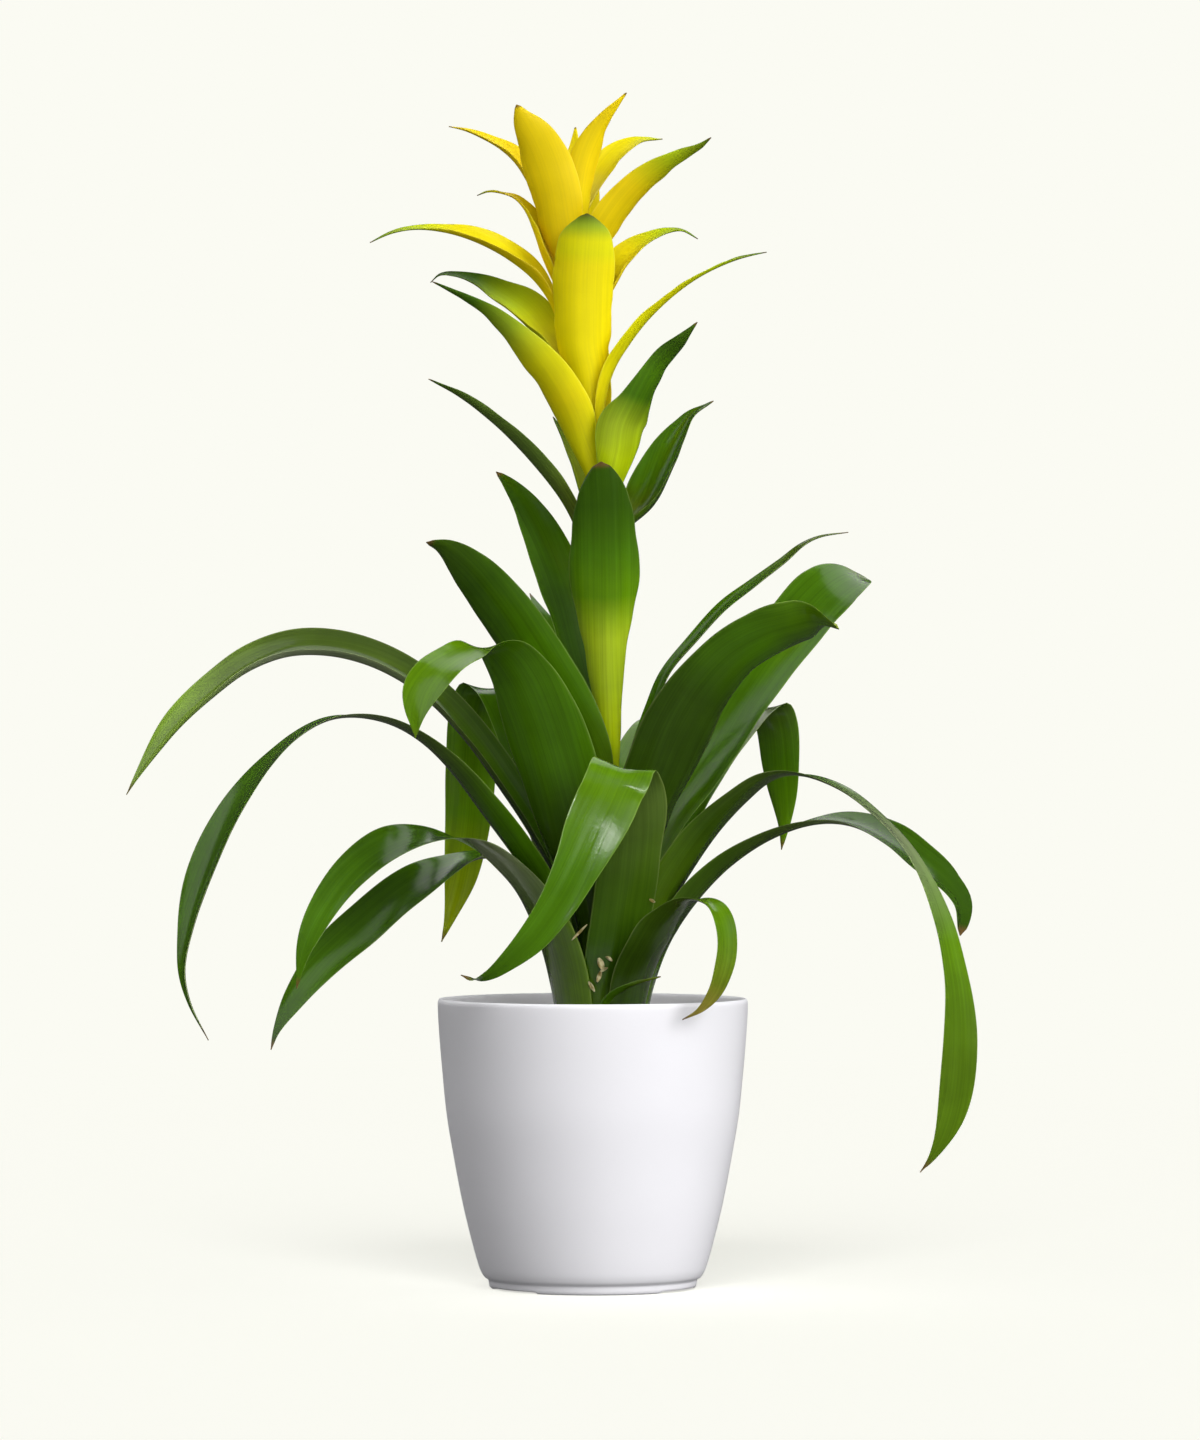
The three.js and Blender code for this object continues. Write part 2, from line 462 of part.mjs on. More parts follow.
const bracts = {
  bract_green_left_broad: {
    colour: 0x434e16,
    heading: 226,
    foot: [5.5, 222],
    line: [
      [1.8, -6, 246], [-3, -9, 267], [-13.8, -14, 288.5], [-26.8, -20, 309.8], [-41, -27, 332],
      [-54, -32, 349.5], [-64.2, -36, 360.8], [-73.8, -39, 368.7], [-82.3, -42, 371.6],
    ],
    half: [9, 13.5, 16.5, 16.8, 16, 14.3, 10.5, 0.6],
    curl: [66, 48, 36, 30, 24],
    roll: [0, 8, 22, 30, 24],
    steps: 15,
  },
  bract_green_left_behind: {
    colour: 0x3a6644,
    heading: 134,
    foot: [5.4, 240],
    line: [
      [2.5, 4, 270], [-3, 7, 296], [-9.5, 12, 322], [-14.5, 17, 343], [-20.6, 21, 362],
      [-28.1, 25, 380], [-35.7, 28, 393.6], [-42.7, 30, 403], [-48.8, 32, 409],
    ],
    half: [8, 11, 14, 15, 13.5, 9, 0.6],
    curl: [70, 50, 34, 26, 20],
    roll: [0, 0, -14, -18],
    steps: 13,
  },
  bract_green_back_sliver: {
    colour: 0x5c6030,
    heading: 118,
    foot: [6.7, 190],
    line: [
      [3.8, 11.5, 228], [-3, 19, 262], [-11.5, 27, 291], [-19.5, 37, 316], [-26, 48, 336],
      [-32, 59, 348],
    ],
    half: [6, 9, 11, 11, 8, 0.6],
    curl: [70, 50, 34, 26, 20],
    roll: [0, 0, 0],
    steps: 11,
  },
  bract_green_back_broad: {
    colour: 0x6d7d24,
    heading: 82,
    foot: [5.8, 212],
    line: [
      [7, 8, 240], [6.2, 12, 268], [5.2, 18, 296], [4, 29, 324], [2, 44, 346], [0, 62, 356],
    ],
    half: [6.5, 7.5, 9.5, 11, 10, 7, 0.6],
    curl: [70, 50, 36, 28, 22],
    roll: [0, 0, 0],
    steps: 12,
  },
  bract_green_front: {
    colour: 0x646412,
    heading: 272,
    foot: [5.3, 256],
    line: [
      [8.3, -8.4, 272], [7.7, -10.5, 290], [6.8, -13, 308], [6.3, -16, 330], [6.1, -19, 351],
      [5.7, -22, 375], [5.2, -24.5, 395], [4.1, -26.5, 412],
    ],
    half: [7.5, 9.5, 12.5, 16.5, 20, 18.5, 14, 0.6],
    curl: [72, 72, 66, 58, 50, 40, 30],
    roll: [0, 0, 0],
    steps: 13,
  },
  bract_green_left_slim: {
    colour: 0x425627,
    heading: 186,
    foot: [4.8, 347],
    line: [
      [-6.6, -1, 375.5], [-14.8, -2, 393], [-30.2, -3, 413.4], [-47, -4, 430.6],
      [-66.4, -5, 445.8], [-82, -6, 454],
    ],
    half: [6.5, 9, 10, 9, 6.5, 4, 0.6],
    curl: [65, 58, 50, 44, 30],
    roll: [0, 14, 20],
    steps: 11,
  },
  bract_green_right: {
    colour: 0x48582c,
    heading: 12,
    foot: [4.75, 357],
    line: [
      [14.7, 1, 376.5], [27.4, 3, 390.6], [34.5, 5, 406.5], [39.8, 6, 419.7], [44.8, 7, 429.6],
      [49.4, 8, 436.4], [60.5, 9, 443.7],
    ],
    half: [8, 13, 17, 14.5, 10, 4, 0.6],
    curl: [65, 58, 54, 46, 30],
    roll: [0, 16, 34, 34],
    steps: 11,
  },
  bract_green_right_front: {
    colour: 0x6a8c22,
    heading: 312,
    foot: [4.6, 384],
    line: [
      [12.8, -8, 406.7], [15.5, -11, 418.6], [17.2, -14, 429.9], [22.2, -17, 440.6],
      [27.8, -20, 451.6], [35.2, -23, 463.2], [44.3, -25, 472.3], [51.9, -26, 481.3],
    ],
    half: [8, 14, 16, 10.3, 7.1, 5.4, 0.6],
    curl: [65, 52, 38, 30, 24],
    roll: [0, -6, -10, -10],
    steps: 12,
  },
  bract_back_low: {
    colour: 0x8a9420,
    heading: 150,
    foot: [4.65, 374],
    line: [
      [-4.5, 4.5, 395], [-9, 8, 411], [-14.5, 12, 425], [-20, 15, 436],
    ],
    half: [7, 9, 8.5, 5.5, 0.6],
    curl: [65, 52, 42, 34],
    roll: [0, 0, 0],
    steps: 8,
  },
  bract_left_front: {
    colour: 0xb4ac14,
    heading: 232,
    foot: [4.5, 402],
    line: [
      [-7.3, -7.4, 420.8], [-12.1, -12, 435.3], [-19.2, -17, 449.6], [-28.9, -22, 463.1],
      [-39.3, -26, 474.8], [-50.9, -30, 485.3], [-63.7, -33, 493.3], [-73.6, -35, 498],
      [-79.3, -36, 500.7],
    ],
    half: [9, 13.4, 13, 11.3, 8.1, 5.3, 2.4, 0.6],
    curl: [65, 52, 38, 30, 24],
    roll: [0, 6, 12, 14, 10],
    steps: 13,
  },
  bract_right_long: {
    colour: 0xc2b418,
    heading: 346,
    foot: [4.4, 424],
    line: [
      [6, -4, 444], [10.5, -6, 459], [18.5, -8, 472], [27.5, -10, 483.5], [41, -12, 496.2],
      [54, -14, 505.2], [67.5, -16, 511.6], [77.5, -17, 514.8], [86.5, -18, 516.5],
    ],
    half: [7, 9.5, 10, 8.5, 6.5, 4.2, 2.4, 0.6],
    curl: [65, 56, 50, 44, 36, 24],
    roll: [0, 8, 12],
    steps: 12,
  },
  bract_front: {
    colour: 0xd2c60e,
    heading: 268,
    foot: [5, 438],
    line: [
      [-2.3, -8, 455], [-4.9, -11, 470], [-5.2, -14, 485], [-5, -16.5, 500], [-4.1, -19, 515],
      [-3.3, -21, 526], [-2.9, -22.5, 535.5],
    ],
    half: [8, 12.5, 15.8, 17.4, 17.6, 17.6, 17.4, 16.4, 13, 0.6],
    curl: [72, 70, 64, 56, 46, 36],
    roll: [0, 0, 0],
    steps: 11,
  },
  bract_back_mid: {
    colour: 0xb8b418,
    heading: 82,
    foot: [5, 398],
    line: [
      [1.5, 8, 432], [-0.5, 13, 454], [-2.5, 21, 475], [-4.5, 32, 492], [-5.5, 45, 502],
    ],
    half: [7, 10, 11, 10, 7, 0.6],
    curl: [65, 52, 38, 30, 24],
    roll: [0, 0, 0],
    steps: 9,
  },
  bract_left_behind: {
    colour: 0x93962a,
    heading: 158,
    foot: [4.9, 432],
    line: [
      [-13, 3, 455], [-18.9, 4, 469], [-28.4, 6, 480.3], [-36.1, 8, 488.6], [-47.9, 10, 496.6],
      [-57.9, 12, 503.1], [-68.7, 14, 507], [-76.9, 15, 507.2], [-81.5, 16, 503.5],
    ],
    half: [8, 12.9, 16.4, 15.4, 10, 3.8, 0.6],
    curl: [65, 56, 48, 42, 34],
    roll: [0, -12, -24, -20],
    steps: 12,
  },
  bract_left_long: {
    colour: 0xd6cb22,
    heading: 186,
    foot: [4.5, 460],
    line: [
      [-15.5, 0, 478], [-21.5, 1.5, 493], [-30, 1.5, 504.8], [-42.5, -0.5, 515], [-57.8, -4, 523],
      [-73.2, -8, 527.4], [-88.5, -11, 528.6], [-101, -13, 526.2], [-111, -14, 521.5],
    ],
    half: [5.5, 8, 13, 12, 9.5, 5, 2.6, 0.6],
    curl: [65, 60, 58, 54, 46, 28],
    roll: [0, -10, -22, -20, -10],
    steps: 13,
  },
  bract_right_small: {
    colour: 0xc8c42a,
    heading: 20,
    foot: [4.6, 466],
    line: [
      [2, 2, 485], [7.5, 4, 498.5], [13.2, 5, 510.3], [22, 7, 520.6], [30.5, 8, 525.8],
      [38, 9, 528.6], [45, 10, 529.2], [52.7, 11, 525],
    ],
    half: [7, 11, 12.5, 9, 5, 2.6, 0.6],
    curl: [65, 58, 54, 46, 30],
    roll: [0, 14, 32, 20],
    steps: 10,
  },
  bract_left_small: {
    colour: 0xd9c42a,
    heading: 178,
    foot: [4.2, 485],
    line: [
      [-20, 1.5, 504], [-25, 2.5, 516], [-28.3, 3, 527], [-32.6, 4, 537.8], [-38.8, 5, 545],
      [-46, 6, 547.8], [-52.5, 7, 548.5], [-58, 7, 546.5],
    ],
    half: [5.5, 9, 11.5, 10, 5, 2, 0.6],
    curl: [65, 58, 54, 44, 30],
    roll: [0, -8, -20, -6],
    steps: 10,
  },
  bract_back_high: {
    colour: 0xc9bf1c,
    heading: 92,
    foot: [4.7, 446],
    line: [
      [-2, 10, 472], [-4, 16, 492], [-8, 25, 511], [-13, 36, 526], [-18, 48, 533],
    ],
    half: [5, 7, 9, 9, 6, 0.6],
    curl: [65, 52, 38, 30, 24],
    roll: [0, 0, 0],
    steps: 9,
  },
  bract_right_big: {
    colour: 0xd2c312,
    heading: 322,
    foot: [4.3, 488],
    line: [
      [-2, -6, 507], [3.2, -9, 520], [11, -12.5, 534], [21, -16, 546.4], [33.4, -19, 557],
      [45.9, -22, 564.2], [53.4, -24, 568.6], [58.8, -25, 573],
    ],
    half: [7, 11, 12.5, 11, 9, 5.5, 0.6],
    curl: [65, 52, 40, 34, 26],
    roll: [0, -8, -14, -10],
    steps: 12,
  },
  bract_top_left: {
    colour: 0xdccb1e,
    heading: 252,
    foot: [4.3, 496],
    line: [
      [-14.5, -7, 517], [-17.5, -9.5, 533], [-20.2, -12, 549], [-24.5, -13, 562.8],
      [-29.6, -15, 574.2], [-34.8, -16, 583], [-38, -17, 590],
    ],
    half: [7, 11.5, 13.5, 14.3, 13, 9, 0.6],
    curl: [65, 54, 42, 34, 26],
    roll: [0, 0, 4, 6],
    steps: 11,
  },
  bract_left_high: {
    colour: 0xe2c020,
    heading: 160,
    foot: [4.2, 503],
    line: [
      [-18.5, 4, 523], [-24, 6, 537.5], [-29.2, 8, 549.5], [-36.5, 10, 562], [-45.3, 12, 570.3],
      [-56, 14, 576.4], [-65, 15, 580.2], [-72.3, 16, 581.8],
    ],
    half: [6, 9, 11.5, 11, 8, 4, 0.6],
    curl: [65, 60, 54, 46, 32],
    roll: [0, -6, -12, -6],
    steps: 11,
  },
  bract_top_right: {
    colour: 0xdcb626,
    heading: 286,
    foot: [3.95, 510],
    line: [
      [-7.4, -6.5, 532], [-6.6, -8.5, 548], [-4.4, -10, 561], [0.2, -12, 573.5],
      [6.8, -14, 584.3], [16.8, -16, 596],
    ],
    half: [6, 7, 8, 8.2, 6.2, 3, 0.6],
    curl: [65, 54, 42, 36, 28],
    roll: [0, 0, 0],
    steps: 10,
  },
  bract_right_high: {
    colour: 0xdede4a,
    heading: 44,
    foot: [3.8, 526],
    line: [
      [-4, 4, 539], [1, 6, 551], [7, 8, 561], [14.5, 10, 569], [23.5, 12, 574], [35, 13, 575.3],
    ],
    half: [5, 8, 9, 7.5, 4.5, 0.6],
    curl: [65, 58, 52, 42, 28],
    roll: [0, 8, 16, 8],
    steps: 9,
  },
  bract_back_top: {
    colour: 0xd6cc20,
    heading: 90,
    foot: [4, 492],
    line: [
      [-5.6, 8.5, 507], [-5, 14, 527], [-4, 21, 545], [-2, 30, 557], [2, 40, 562],
    ],
    half: [5, 6.5, 9, 8, 5, 0.6],
    curl: [65, 52, 40, 30, 24],
    roll: [0, 0, 0],
    steps: 9,
  },
  bract_crown_left: {
    colour: 0xe4cc28,
    heading: 140,
    foot: [3.9, 511],
    line: [
      [-14.5, 4.5, 534], [-16.8, 6.5, 550], [-19, 9, 566], [-20.5, 11.5, 578.5],
    ],
    half: [4, 5, 6, 5, 3, 0.6],
    curl: [65, 56, 48, 36, 28],
    roll: [0, 0, 0],
    steps: 8,
  },
  bract_crown_right: {
    colour: 0xe4d838,
    heading: 66,
    foot: [3.6, 534],
    line: [
      [-10, 4.5, 548], [-9.5, 6.5, 559], [-9, 8.5, 570], [-8.7, 10, 581],
    ],
    half: [4, 4.5, 5, 4.5, 2.5, 0.6],
    curl: [65, 56, 48, 36, 28],
    roll: [0, 0, 0],
    steps: 8,
  },
};

const blades = [
  [leaves, LEAF_SHEATH, 0.35],
  [bracts, BRACT_SHEATH, 0.4],
];
for (const [table, sheath, roughness] of blades) {
  for (const [name, blade] of Object.entries(table)) {
    add(name, bladeGeometry({ sheath, ...blade }), blade.colour, roughness);
  }
}

// The stem: a blunt cone that the leaves are seated on, then the stalk, to a small bud.

// Rings, each a height and a radius, about the stalk's line, joined into one closed body.
function rodGeometry(rings) {
  const position = [];
  const index = [];
  rings.forEach(([z, radius], i) => {
    const centre = stalkAt(z);
    for (let j = 0; j < STALK_SIDES; j++) {
      const angle = (j * 2 * Math.PI) / STALK_SIDES;
      position.push(centre.x + radius * Math.cos(angle), centre.y + radius * Math.sin(angle), z);
      if (i > 0) {
        const next = (j + 1) % STALK_SIDES;
        const low = (i - 1) * STALK_SIDES;
        const high = i * STALK_SIDES;
        index.push(low + j, low + next, high + next, low + j, high + next, high + j);
      }
    }
  });
  const top = (rings.length - 1) * STALK_SIDES;
  for (let j = 1; j + 1 < STALK_SIDES; j++) {
    index.push(0, j + 1, j, top, top + j, top + j + 1);
  }
  return indexed(position, index);
}

const stalkRings = [];
for (let i = 0; i <= STALK_RINGS; i++) {
  const t = i / STALK_RINGS;
  stalkRings.push([lerp(STALK_BOTTOM, STALK_TOP, t), lerp(STALK_RADIUS, STALK_TOP_RADIUS, t)]);
}
const stem = rodGeometry([
  [CROWN_BOTTOM, CROWN_FOOT_RADIUS - 1.5],
  [CROWN_BOTTOM + 2, CROWN_FOOT_RADIUS],
  [SOIL_LEVEL, CROWN_FOOT_RADIUS],
  [CROWN_NECK_HEIGHT, CROWN_NECK_RADIUS],
  ...stalkRings,
  [BUD_TOP - 8, BUD_RADIUS],
  [BUD_TOP - 3, BUD_RADIUS - 0.8],
  [BUD_TOP, 0.8],
]);
add("stem", stem, 0x93a63a, 0.6);

// The pot and what fills it

const potOutside = [
  [0, 0],
  [FOOT_RADIUS, 0],
  [51.6, 0.8],
  [52.6, 4.9],
  [53.9, 5.3],
  [56, 8.5],
  [57.9, 14],
  [60, 21.5],
  [65, 42],
  [69.8, 67],
  [73.1, 87],
  [75.3, 109],
  [76.8, 127],
  [POT_RIM_RADIUS, POT_HEIGHT - 4.5],
  [POT_RIM_RADIUS - 0.1, POT_HEIGHT - 1.1],
  [POT_RIM_RADIUS - 0.8, POT_HEIGHT],
];
const potInside = [
  [POT_RIM_RADIUS - 1.8, POT_HEIGHT],
  [POT_RIM_RADIUS - 2.4, POT_HEIGHT - 0.9],
  [73.8, 122],
  [70.7, 87],
  [67.2, 66],
  [62.4, 42],
  [57.5, 22],
  [53.5, 10],
  [50, POT_FLOOR + 1.4],
  [0, POT_FLOOR],
];
let pot = solidOf(turned([...potOutside, ...potInside]));
for (const angle of NOTCH_HEADINGS) {
  const notch = new THREE.BoxGeometry(10, NOTCH_WIDTH, 2 * NOTCH_DEPTH)
    .translate(FOOT_RADIUS - 0.6, 0, 0)
    .rotateZ(radians(angle));
  pot = pot.subtract(solidOf(notch));
}
add("pot", geometryOf(pot), 0xe9e8ec, 0.45);

// The potting mix fills the pot, clear of its wall, with a pocket that the crown stands in.
const soil = solidOf(turned([
  [0, POT_FLOOR + 0.5],
  [49, 6.3],
  [52.4, 11.2],
  [56.5, 22.6],
  [61.3, 42.4],
  [66, 66],
  [69.5, 87],
  [72, SOIL_LEVEL - 3],
  [60, SOIL_LEVEL - 0.5],
  [40, SOIL_LEVEL + 0.3],
  [0, SOIL_LEVEL],
]));
const pocketRadius = CROWN_FOOT_RADIUS + SEAT_GAP;
const pocketDepth = SOIL_LEVEL - CROWN_BOTTOM + SEAT_GAP;
const pocket = new THREE.CylinderGeometry(pocketRadius, pocketRadius, 2 * pocketDepth, 40)
  .rotateX(Math.PI / 2)
  .translate(CROWN_X, 0, SOIL_LEVEL);
add("potting_mix", geometryOf(soil.subtract(solidOf(pocket))), 0x3b2a1e, 0.95);

export default plant;
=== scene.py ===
# A potted bromeliad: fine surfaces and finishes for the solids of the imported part.
# Metres, Z up, the origin under the middle of the pot. Sizes in the dictionaries are millimetres.
import math

import bpy
import numpy as np
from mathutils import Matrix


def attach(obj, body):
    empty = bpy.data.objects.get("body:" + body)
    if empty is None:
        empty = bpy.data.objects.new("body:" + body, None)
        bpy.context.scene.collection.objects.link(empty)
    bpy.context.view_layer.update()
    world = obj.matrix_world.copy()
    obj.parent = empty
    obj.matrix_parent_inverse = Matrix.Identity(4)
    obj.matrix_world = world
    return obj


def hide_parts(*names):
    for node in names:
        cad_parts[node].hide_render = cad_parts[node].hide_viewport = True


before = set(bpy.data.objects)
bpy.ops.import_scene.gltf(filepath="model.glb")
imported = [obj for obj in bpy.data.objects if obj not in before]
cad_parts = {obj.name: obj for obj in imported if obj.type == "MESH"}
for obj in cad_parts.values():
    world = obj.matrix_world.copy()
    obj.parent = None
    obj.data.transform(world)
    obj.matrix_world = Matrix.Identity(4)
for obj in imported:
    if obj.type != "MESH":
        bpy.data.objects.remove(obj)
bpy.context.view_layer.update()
scene = bpy.context.scene
mm = 0.001
fullTurn = 2 * math.pi
print("frame:", len(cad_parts), "nodes")


# Colours

palette = {
    "deep": "315105", "leaf": "436c07", "bright": "567e06", "olive": "5c6c16", "moss": "4d6b0d",
    # the pale grey-green of the next line is partly the leaves' own grey bloom and partly painted
    # sheen, put where blades show a grey gloss
    # the two darker greens at the start of the next line are also used as painted shade where a
    # blade lies in shade
    "dark": "3b570d", "shade": "2d4508", "dusk": "4e6522", "waxy": "7c8a60", "umber": "4c512c",
    "chartreuse": "97ad1d", "lime": "afc30c", "citron": "dbd606", "lemon": "e7d705",
    "gold": "e4c806", "pale": "f1e75e", "tan": "a08a3c", "brown": "6a4a2c", "margin": "a8b46c",
    # the last two greens are painted light on leaf_left_high: a grey-green for its grey gloss and a
    # lighter green where its tip catches the light
    "frost": "93a178", "fresh": "83a53a",
}


def linear(hexText):
    # a display colour turned linear: the sRGB curve, channel by channel
    values = np.array([int(hexText[i:i + 2], 16) / 255 for i in (0, 2, 4)])
    return np.where(values <= 0.04045, values / 12.92, ((values + 0.055) / 1.055) ** 2.4)


def columnsAt(x, places, table):
    # the table's columns, known at the places, read at every x with straight joins
    return np.stack([np.interp(x, places, column) for column in table.T], -1)


def colourRun(names, t):
    # linear colour at each t: the named colours spread evenly from 0 to 1, straight between
    # neighbours; a name with *3 after it stands three times
    stops = []
    for word in names.split():
        name, _, times = word.partition("*")
        stops += [linear(palette[name])] * int(times or 1)
    return columnsAt(t, np.linspace(0, 1, len(stops)), np.array(stops))


# Node materials

def newMaterial(name):
    # a material, its node tree, its shader, and the Object coordinates that its noises take
    material = bpy.data.materials.new(name)
    material.use_nodes = True
    tree = material.node_tree
    place = tree.nodes.new("ShaderNodeTexCoord").outputs["Object"]
    return material, tree, tree.nodes["Principled BSDF"], place


def put(tree, socket, value):
    # an output is linked to the socket, and a number or a colour is set on it
    if isinstance(value, bpy.types.NodeSocket):
        tree.links.new(value, socket)
    else:
        socket.default_value = value


def addNode(tree, kind, values, **settings):
    node = tree.nodes.new(kind)
    for key, value in settings.items():
        setattr(node, key, value)
    for key, value in values.items():
        put(tree, node.inputs[key], value)
    return node


def noiseOf(tree, vector, scale, detail=3.0, roughness=0.55):
    # noise on the vector; three scales stretch it axis by axis
    if isinstance(scale, tuple):
        values = {"Vector": vector, "Scale": scale}
        vector, scale = addNode(tree, "ShaderNodeMapping", values).outputs["Vector"], 1.0
    values = {"Vector": vector, "Scale": scale, "Detail": detail, "Roughness": roughness}
    return addNode(tree, "ShaderNodeTexNoise", values).outputs["Fac"]


def ranged(tree, value, toLow, toHigh, low=0.3, high=0.7):
    # value from low..high carried to toLow..toHigh, held at both ends
    values = {"Value": value, "From Min": low, "From Max": high, "To Min": toLow, "To Max": toHigh}
    return addNode(tree, "ShaderNodeMapRange", values).outputs["Result"]


def mixedColour(tree, factor, first, second, blend="MIX"):
    node = addNode(tree, "ShaderNodeMix", {0: factor, 6: first, 7: second}, data_type="RGBA",
                   blend_type=blend)
    return node.outputs[2]


def setLook(tree, shader, colour, shades, roughness, bumps, specular=0.5):
    # base colour: the colour times each shade; the bumps are laid one on another, each a height,
    # its strength and its depth in millimetres
    for shade in shades:
        colour = mixedColour(tree, 1.0, colour, shade, "MULTIPLY")
    put(tree, shader.inputs["Base Color"], colour)
    put(tree, shader.inputs["Roughness"], roughness)
    put(tree, shader.inputs["Specular IOR Level"], specular)
    below = shader
    for height, strength, depth in bumps[::-1]:
        values = {"Height": height, "Strength": strength, "Distance": depth * mm}
        bump = addNode(tree, "ShaderNodeBump", values)
        tree.links.new(bump.outputs["Normal"], below.inputs["Normal"])
        below = bump


def grainMaterial(name, look):
    # Every noise is of Object coordinates. Base colour: the look's colours mixed by a noise or by
    # height, times the noises of shades; gloss: a number or a noise; relief: the noises of bumps.
    # A noise is read as what it gives at both ends, and between which values they lie.
    material, tree, shader, place = newMaterial(name)
    noises = {key: noiseOf(tree, place, *values) for key, values in look["noises"].items()}

    def read(source, *span):
        if source == "height":
            axes = addNode(tree, "ShaderNodeSeparateXYZ", {0: place})
            return ranged(tree, axes.outputs["Z"], *span)
        return ranged(tree, noises[source], *span)

    colours = [(*linear(text), 1) for text in look["colours"]]
    base = mixedColour(tree, read(*look["mix"]), *colours) if "mix" in look else colours[0]
    gloss = read(*look["gloss"]) if isinstance(look["gloss"], tuple) else look["gloss"]
    bumps = [(noises[source], strength, depth) for source, strength, depth in look["bumps"]]
    setLook(tree, shader, base, [read(*shade) for shade in look["shades"]], gloss, bumps)
    return material


# The finish of leaves and bracts: veins is how far apart the veins lie, in millimetres, and the
# pairs of scales are across and along the blade, per millimetre.
leafFinish = {"roughness": 0.15, "specular": 0.5, "veins": 0.75, "streaks": 0.22, "mottle": 0.14,
              "relief": 0.22}
bractFinish = {"roughness": 0.5, "specular": 0.15, "veins": 0.8, "streaks": 0.08, "mottle": 0.06,
               "relief": 0.2}
bladeGrain = {"veinRun": 0.012, "band": (0.22, 0.006), "wrinkle": (0.25, 0.5), "mottle": 26.0,
              "veinDepth": 0.18, "wrinkleRelief": (0.18, 0.3)}


def bladeMaterial(name, finish):
    # base colour: the piece's own tint, times fine streaks that run along the blade, times a slow
    # mottle; relief: narrow veins along it and faint cross wrinkles
    material, tree, shader, place = newMaterial(name)
    tint = addNode(tree, "ShaderNodeAttribute", {}, attribute_name="tint").outputs["Color"]
    grain = addNode(tree, "ShaderNodeAttribute", {}, attribute_name="grain").outputs["Vector"]
    fine = noiseOf(tree, grain, (1 / finish["veins"], bladeGrain["veinRun"], 1), 2.0)
    wide = noiseOf(tree, grain, (*bladeGrain["band"], 1), 2.0)
    wrinkle = noiseOf(tree, grain, (*bladeGrain["wrinkle"], 1), 2.0)
    slow = noiseOf(tree, place, bladeGrain["mottle"])
    amounts = ((fine, finish["streaks"] * 0.6), (wide, finish["streaks"] * 0.5),
               (slow, finish["mottle"]))
    shades = [ranged(tree, noise, 1 - amount, 1 + amount) for noise, amount in amounts]
    gloss = ranged(tree, wide, finish["roughness"] - 0.06, finish["roughness"] + 0.08)
    bumps = [(fine, finish["relief"], bladeGrain["veinDepth"]),
             (wrinkle, *bladeGrain["wrinkleRelief"])]
    setLook(tree, shader, tint, shades, gloss, bumps, finish["specular"])
    return material


leafSkin = bladeMaterial("leaf_skin", leafFinish)
bractSkin = bladeMaterial("bract_skin", bractFinish)
print("leaf finishes made")


# Lines and lists

def along(values, t):
    # values spread evenly over 0..1, joined by a uniform Catmull-Rom run and read at every t
    values = np.asarray(values, float)
    place = np.asarray(t) * (len(values) - 1)
    i = np.minimum(np.floor(place).astype(int), len(values) - 2)
    u = place - i
    a, b = values[np.maximum(i - 1, 0)], values[i]
    c, d = values[i + 1], values[np.minimum(i + 2, len(values) - 1)]
    return b + 0.5 * u * (c - a + u * (2 * a - 5 * b + 4 * c - d + u * (3 * (b - c) + d - a)))


def smooth(x, low, high):
    # 0 below low and 1 above high, and between them 3 u squared less 2 u cubed
    u = np.clip((x - low) / (high - low), 0, 1)
    return u * u * (3 - 2 * u)


def lineThrough(points, count):
    # a centripetal Catmull-Rom line through the points, read at count places evenly spread by
    # length: its places, its directions and its whole length
    p = np.asarray(points, float)
    p = np.vstack([2 * p[0] - p[1], p, 2 * p[-1] - p[-2]])
    gap = np.linalg.norm(np.diff(p, axis=0), axis=1) ** 0.5
    before, here, after = (gap[k:k + len(p) - 3, None] for k in range(3))
    p0, p1, p2, p3 = (p[k:k + len(p) - 3] for k in range(4))
    start = ((p1 - p0) / before - (p2 - p0) / (before + here) + (p2 - p1) / here) * here
    finish = ((p2 - p1) / here - (p3 - p1) / (here + after) + (p3 - p2) / after) * here
    u = np.linspace(0, 1, 60, endpoint=False)[:, None, None]
    rows = p1 + start * u + (3 * (p2 - p1) - 2 * start - finish) * u**2 + (
        2 * (p1 - p2) + start + finish) * u**3
    dense = np.vstack([rows.transpose(1, 0, 2).reshape(-1, 3), p2[-1:]])
    run = np.concatenate([[0], np.cumsum(np.linalg.norm(np.diff(dense, axis=0), axis=1))])
    wanted = np.linspace(0, run[-1], count)
    way = columnsAt(wanted, run, np.gradient(dense, run, axis=0))
    way /= np.linalg.norm(way, axis=1)[:, None]
    return columnsAt(wanted, run, dense), way, run[-1]


# The stalk: its middle line, and height and radius pairs from the crown to the bud
stalk = {
    "line": [(4.5, 0, 100), (5.5, 0, 180), (8, 0, 250), (7, 0, 330), (3, 0, 400), (-3, 0, 460),
             (-8, 0, 510), (-12.5, 0, 556)],
    "crown": [(106, 17.8), (108, 19.3), (116, 19.3), (144, 6.2)],
    "bottom": (152, 4.7), "top": (540, 2.7),
    "bud": [(548, 3.4), (553, 2.6), (556, 0.8)],
    "ringHeight": 0.22, "ringWidth": 1.6, "rows": 260, "sides": 36,
}
stalkPlaces = lineThrough(stalk["line"], 801)[0]


def stalkAt(z):
    # the stalk line's middle at height z
    return columnsAt(z, stalkPlaces[:, 2], stalkPlaces)


# Meshes

groupNames = ("plant", "blades", "leaves", "pot", "floor")
receivers = {name: bpy.data.collections.new(name) for name in groupNames}
for group in receivers.values():
    scene.collection.children.link(group)


def newObject(name, points, faces, material, group):
    # one object at the origin from points in metres
    mesh = bpy.data.meshes.new(name)
    mesh.from_pydata(np.reshape(points, (-1, 3)).tolist(), [], faces.tolist())
    mesh.materials.append(material)
    mesh.shade_smooth()
    made = bpy.data.objects.new(name, mesh)
    receivers[group].objects.link(made)
    return made


